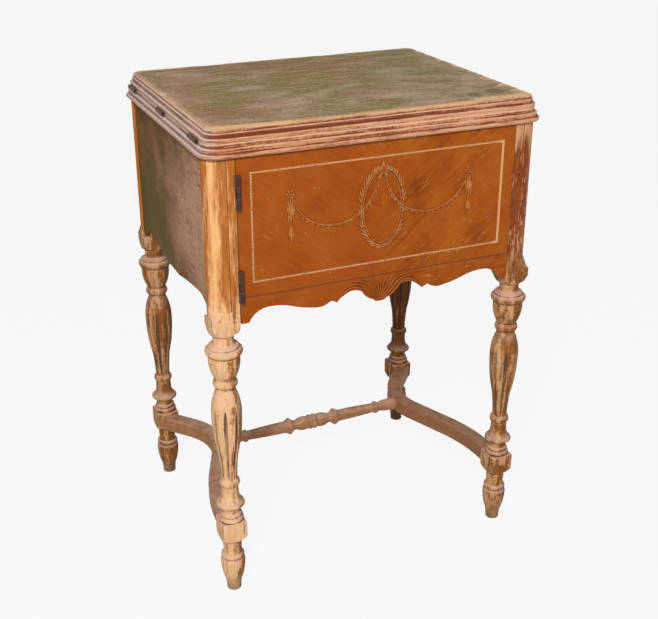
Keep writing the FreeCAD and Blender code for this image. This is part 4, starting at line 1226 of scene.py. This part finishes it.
@dataclass
class Door:
    """Swinging front: veneered board, stringing, festoon and the apron with its shell."""

    front: float = -213.5
    wreath_half: float = 35.0
    wreath_tall: float = 60.0
    wreath_z: float = 634.0
    wreath_leaves: int = 23
    bead_inset: float = 3.6
    tie_x: float = 8.0
    tie_z: float = 672.0
    swag_span: float = 138.0
    swag_low: float = 55.0
    swag_leaves: int = 16
    stations: int = 12
    shell_ribs: tuple[tuple[Point, ...], ...] = (
        ((1.0, 484.2), (14.0, 488.0), (24.0, 495.0), (30.0, 504.5), (38.0, 511.0), (46.5, 512.6), (56.0, 510.0),
         (64.0, 502.0)),
        ((1.0, 485.0), (12.0, 492.0), (20.5, 501.0), (28.0, 510.5), (39.0, 516.4), (51.0, 516.6), (61.0, 511.0)),
        ((0.8, 486.0), (9.0, 495.0), (15.5, 505.0), (22.5, 514.0), (34.0, 520.2), (47.0, 520.4)),
        ((0.6, 487.0), (6.0, 498.0), (10.2, 508.0), (15.0, 516.6), (23.0, 521.6), (34.0, 523.2)),
        ((0.4, 488.0), (3.0, 500.0), (5.2, 511.0), (8.2, 518.6), (13.0, 522.4)))
    sliver: float = 0.01

    def wreath(self, carver: Carver) -> None:
        """Carves the laurel wreath with its inner bead.

        Args:
            carver: what carves it.
        """
        across, tall = self.wreath_half + 0.8, self.wreath_tall + 0.8
        turns = [math.pi * i / self.stations for i in range(self.stations + 1)]
        for sign in (side.value for side in Side):
            carver.ridge([(sign * ((self.wreath_half - self.bead_inset) * math.sin(turn) - 0.15),
                           self.wreath_z - (self.wreath_tall - self.bead_inset) * math.cos(turn)) for turn in turns],
                         [1.7] * len(turns), 0.95)
            for index in range(self.wreath_leaves):
                angle = math.pi * (index + 0.6) / (self.wreath_leaves + 0.5)
                run, rise = across * math.cos(angle), tall * math.sin(angle)
                length = math.hypot(rise, run)
                for swing, out in ((26.0, 1.9), (12.0, -1.2)):
                    carver.leaf(sign * across * math.sin(angle) + sign * out * rise / length,
                                self.wreath_z - tall * math.cos(angle) - out * run / length,
                                sign * (math.degrees(math.atan2(run, rise)) + swing), 15.5, 3.8, 5.0)
            carver.leaf(sign * 6.5, self.wreath_z + 60.0, sign * 62.0, 15.0, 6.0, 7.0)
            carver.leaf(sign * 5.0, self.wreath_z + 49.0, sign * 152.0, 17.0, 5.0, 6.4)
        top = self.wreath_z + self.wreath_tall
        carver.rosette(0.0, top - 3.0, 9.0, 5)
        carver.leaf(0.0, top + 5.0, 0.0, 15.0, 6.0, 6.6)

    def swag(self, carver: Carver, sign: float) -> None:
        """Carves one swag with the leaves under it, its rosette and its drop.

        Args:
            carver: what carves it.
            sign: half of the door, as the sign of X.
        """
        half = self.swag_span / 2
        radius = (half ** 2 + self.swag_low ** 2) / (2 * self.swag_low)
        middle_x, middle_z = self.tie_x + half, self.tie_z - self.swag_low + radius
        lean = math.asin(half / radius)
        turns = [lean * (2 * i / self.stations - 1) for i in range(self.stations + 1)]
        way = [(sign * (middle_x + radius * math.sin(turn)), middle_z - radius * math.cos(turn)) for turn in turns]
        widths = [1.5 + 1.3 * math.cos(turn / lean * math.pi / 2) for turn in turns]
        carver.ridge([(sign * 2.5, self.tie_z + 11.0)] + way, [1.2] + widths, 1.1)
        reach, last = radius + 2.4, self.swag_leaves
        for index in range(last + 1):
            angle = lean * (-0.94 + 1.5 * index / last)
            carver.leaf(sign * (middle_x + reach * math.sin(angle)), middle_z - reach * math.cos(angle),
                        sign * (math.degrees(-angle) + 90.0 + 16.0), 15.0 - 6.0 * index / last, 3.4, 4.4)
        x, top = sign * (self.tie_x + self.swag_span), self.tie_z
        carver.rosette(x, top + 1.0, 8.2, 6)
        carver.leaf(x, top - 26.0, 0.0, 50.0, 5.0, 7.6)
        for way in (-1.0, 1.0):
            carver.leaf(x + way * 3.0, top - 24.0, -2.0 * way, 42.0, 4.4, 6.4)
            carver.leaf(x + way * 5.4, top - 21.0, 3.0 * way, 32.0, 3.0, 5.0)
            carver.leaf(x + way * 2.2, top - 56.0, -7.0 * way, 22.0, 4.2, 6.0)
        carver.leaf(x, top - 61.0, 0.0, 32.0, 4.6, 7.0)

    def shell(self, carver: Carver) -> None:
        """Carves the ribs of the shell, which fan out from its foot and run into the scrolls beside it.

        Args:
            carver: what carves them.
        """
        carver.ridge([(0.0, 488.0), (0.0, 500.0), (0.0, 511.0), (0.0, 521.0)], [0.8, 1.5, 2.1, 1.2], 1.3)
        for side in Side:
            for rib in self.shell_ribs:
                last = len(rib) - 1
                widths = [0.8 + 1.5 * math.sin(math.pi * (0.1 + 0.8 * i / last)) for i in range(last + 1)]
                carver.ridge([(side.value * x, z) for x, z in rib], widths, 1.3)

    def build(self, face: Material, apron_face: Material, string: Material, carving: Material,
              inner: Material) -> None:
        """Makes the carving and the apron, and dresses the boards.

        Args:
            face: finish of the veneer.
            apron_face: finish of the apron.
            string: finish of the border line.
            carving: finish of the carved pieces.
            inner: finish of the core.
        """
        festoon, shell = Carver(self.front), Carver(self.front)
        self.wreath(festoon)
        for side in Side:
            self.swag(festoon, side.value)
        ride(festoon.piece("carved_festoon"), "door", carving, "carving", "festoon")
        board = halved(from_solid("door_apron", "apron_board"), (0, self.front + 0.02, 0), (0, 1, 0))
        edit(rounded(board, 0.6, 60.0))
        bpy.ops.mesh.remove_doubles(threshold=self.sliver * MM)
        bpy.ops.mesh.dissolve_degenerate(threshold=self.sliver * MM)
        close()
        ride(smooth(board, 30.0), "door", apron_face, "door_wood", "door_apron")
        self.shell(shell)
        ride(shell.piece("carved_shell"), "door", carving, "carving")
        dress(face, "door_veneer_left", "door_veneer_right")
        dress(string, "inlay_border")
        dress(inner, "door_core")


@dataclass
class Case:
    """Side panels set back between the stiles, the back panel and the strips inside."""

    face_x: float = 264.4
    drop: float = 4.0
    drop_below: float = 560.0

    def build(self, panel: Material, inner: Material) -> None:
        """Thins the side panels from outside, lets their lower edge down and dresses the rest.

        Args:
            panel: finish of the panels.
            inner: finish of the strips inside.
        """
        for side in Side:
            node = f"side_panel_{side.name.lower()}"
            sheet = halved(from_solid(node, f"set_back_{node}"), (side.value * self.face_x, 0, 0),
                           (-side.value, 0, 0))
            for vertex in sheet.data.vertices:
                if vertex.co.z < self.drop_below * MM:
                    vertex.co.z -= self.drop * MM
            ride(smooth(sheet, 30.0), "cabinet", panel, "panel_veneer", node)
        dress(panel, "back_panel")
        dress(inner, "top_cleat_left", "top_cleat_right", "top_cleat_back", "door_stop", "flap_ledges")


@dataclass
class Hardware:
    """Butt hinges with their screws, catch and the hinges of the machine head."""

    lid_hinges: tuple[float, ...] = (-163.05, 3.08, 169.02)
    door_hinges: tuple[float, ...] = (685.5, 543.5)
    flap_hinges: tuple[float, ...] = (-120.0, 120.0)
    brackets: tuple[float, ...] = (-132.0, 132.0)
    head: float = 2.6
    head_top: float = -0.06
    head_low: float = -0.85
    hole_room: float = 0.15
    hole_low: float = -0.95
    slot: Place = (0.7, 7.8, 0.8)
    slot_z: float = -0.1
    slot_turn: float = 1.1

    def disc(self, radius: float, top: float, low: float) -> Object:
        """Makes an upright disc on the origin.

        Args:
            radius: its radius.
            top: height of its upper face.
            low: height of its lower face.

        Returns:
            The disc.
        """
        obj = made(bpy.ops.mesh.primitive_cylinder_add, vertices=24, radius=radius * MM, depth=(top - low) * MM)
        obj.data.transform(Matrix.Translation((0, 0, (top + low) / 2 * MM)))
        return obj

    def screwed(self, node: str, body: str, material: Material, slot: str, out: Vector, places: list[Place]) -> None:
        """Sinks slotted screws into a leaf.

        Args:
            node: CAD node of the leaf.
            body: body that it rides on.
            material: its finish.
            slot: name of the material slot.
            out: direction that the screw heads face.
            places: middle of each head, on the face of the leaf.
        """
        head = self.disc(self.head, self.head_top, self.head_low)
        cutter = made(bpy.ops.mesh.primitive_cube_add, size=MM, scale=self.slot, location=(0, 0, self.slot_z * MM))
        cut_with(head, cutter, "DIFFERENCE")
        hole = self.disc(self.head + self.hole_room, 0.5, self.hole_low)
        moves = [Matrix.Translation(Vector(place) * MM) @ out.to_track_quat("Z", "Y").to_matrix().to_4x4()
                 @ Matrix.Rotation(self.slot_turn * index, 4, "Z") for index, place in enumerate(places)]
        heads, holes = ([copied(blank, "screw", move) for move in moves] for blank in (head, hole))
        leaf = cut_with(from_solid(node, f"screwed_{node}"), joined(holes, "holes"), "DIFFERENCE")
        bpy.data.objects.remove(head)
        bpy.data.objects.remove(hole)
        ride(smooth(joined([leaf] + heads, f"screwed_{node}"), 30.0), body, material, slot, node)

    def build(self, steel: Material, iron: Material) -> None:
        """Screws the leaves on and dresses the other metal.

        Args:
            steel: finish of the butt hinges and the catch.
            iron: finish of the machine-head hinges.
        """
        up, right = Vector((0, 0, 1)), Vector((1, 0, 0))
        lid_y, door_z, flap_x, bracket_x = (
            [middle + step for middle in row for step in (-reach, reach)] for row, reach in (
                (self.lid_hinges, 11.0), (self.door_hinges, 16.0), (self.flap_hinges, 12.0), (self.brackets, 10.5)))
        for node, body, out, places in (
                ("lid_hinge_lower_leaves", "cabinet", up, [(-255.5, y, 754.95) for y in lid_y]),
                ("lid_hinge_upper_leaves", "lid", -up, [(-255.5, y, 755.05) for y in lid_y]),
                ("door_hinge_stile_leaves", "cabinet", right, [(-227.0, -205.5, z) for z in door_z]),
                ("door_hinge_door_leaves", "door", -right, [(-225.5, -205.5, z) for z in door_z]),
                ("flap_hinges", "cabinet", up, [(x, y, 754.5) for x in flap_x for y in (-143.5, -123.5)])):
            self.screwed(node, body, steel, "hinge_steel", out, places)
        self.screwed("machine_hinge_brackets", "cabinet", iron, "hinge_iron", up,
                     [(x, 168.0, 754.7) for x in bracket_x])
        dress(steel, "catch_clip", "catch_stud")
        dress(iron, "machine_tongue_left", "machine_tongue_right")


@dataclass
class Studio:
    """White floor, soft light and the camera at the photograph's angle."""

    camera_place: Place = (-0.6789, -1.5617, 1.1516)
    camera_turn: Place = (65.559, 0.0, -23.741)
    lens: float = 58.57
    sensor: float = 36.0
    sky: float = 0.22
    paper: str = "#CFCFCF"
    glow: float = 0.9
    aim: Place = (0.0, 0.0, 0.45)

    def white(self, add: Add) -> Node:
        """Adds the share of rays that see the plain white background."""
        rays = add("LightPath").outputs
        kinds = ("Camera", "Glossy", "Transmission")
        return reduce(partial(add, "MAXIMUM"), [rays[f"Is {kind} Ray"] for kind in kinds])

    def floor(self) -> None:
        """Lays the pale floor, which keeps the shadow."""
        obj = made(bpy.ops.mesh.primitive_plane_add, size=60.0, location=(0, 0, -0.5 * MM))
        obj.name = "floor"
        material = bpy.data.materials.new("white paper floor")
        add = cleared(material)
        share = add("MULTIPLY", self.white(add), self.glow)
        both = add("MixShader", share, add("BsdfDiffuse", self.paper), add("Emission", "#FFFFFF", 1.0))
        add("OutputMaterial", both)
        obj.data.materials.append(material)

    def lamp(self, name: str, place: Place, size: float, power: float) -> None:
        """Hangs a soft square lamp aimed at the cabinet.

        Args:
            name: name of the lamp.
            place: where it hangs.
            size: side of the square.
            power: watts.
        """
        obj = made(bpy.ops.object.light_add, type="AREA", location=place)
        obj.name = name
        obj.data.size = size
        obj.data.energy = power
        obj.rotation_euler = (Vector(self.aim) - Vector(place)).to_track_quat("-Z", "Y").to_euler()

    def build(self) -> None:
        """Sets up floor, sky, lamps and camera."""
        scene = bpy.context.scene
        self.floor()
        scene.world = bpy.data.worlds.new("white sky")
        add = cleared(scene.world)
        strength = add("MapRange", self.white(add), 0.0, 1.0, self.sky, 1.0)
        add("OutputWorld", add("Background", "#FFFFFF", strength))
        self.lamp("key", (-1.5, -2.5, 2.5), 0.7, 102.0)
        self.lamp("fill", (2.4, -1.9, 1.6), 2.0, 9.0)
        camera = made(bpy.ops.object.camera_add, location=self.camera_place)
        camera.rotation_euler = [math.radians(a) for a in self.camera_turn]
        camera.data.lens = self.lens
        camera.data.sensor_width = self.sensor
        camera.data.clip_start = 0.05
        scene.camera = camera
        scene.view_settings.view_transform = "Standard"


def main() -> None:
    """Builds the cabinet's pieces in order."""
    logging.basicConfig(level=logging.INFO, format="%(message)s")
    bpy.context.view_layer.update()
    Studio().build()
    Legs().build(WornLegWood("worn gumwood, turned").make())
    Stretchers().build(
        StainedWood("stained stretcher wood", run=Run.ALONG_Y, right_shade_share=0.4).make(),
        StainedWood("turned stretcher wood", light="#C49066", dark="#7C4C2A", dust="#CAA492", bare="#E0B890").make())
    Top().build(
        WeatheredTop("weathered walnut veneer").make(), RubbedMoulding("rubbed gumwood moulding").make(),
        StainedWood("flap board", light="#8A5528", dark="#5E3417", bare="#A9743F", dust_share=0.0).make())
    Case().build(
        CrazedPanel("crazed walnut panel").make(),
        StainedWood("inner poplar", light="#B98A58", dark="#8F6638", dust="#A98A68", bare="#D0A878").make())
    Door().build(
        WalnutFace("book-matched walnut").make(),
        WalnutFace("apron walnut", lean_degrees=0.0, figure_mm=7.0, mirrored=False, light="#B86E28").make(),
        Stringing("holly stringing").make(), PressedCarving("pressed carving").make(),
        StainedWood("door core", light="#A8784A", dark="#7C5430", dust="#A8784A", bare="#C89C6A").make())
    Hardware().build(
        AgedMetal("oxidised steel").make(),
        AgedMetal("japanned iron", skin="#1D1A18", rust="#3A2A20", bright="#6E6860", rough=0.42).make())


if __name__ == "__main__":
    main()
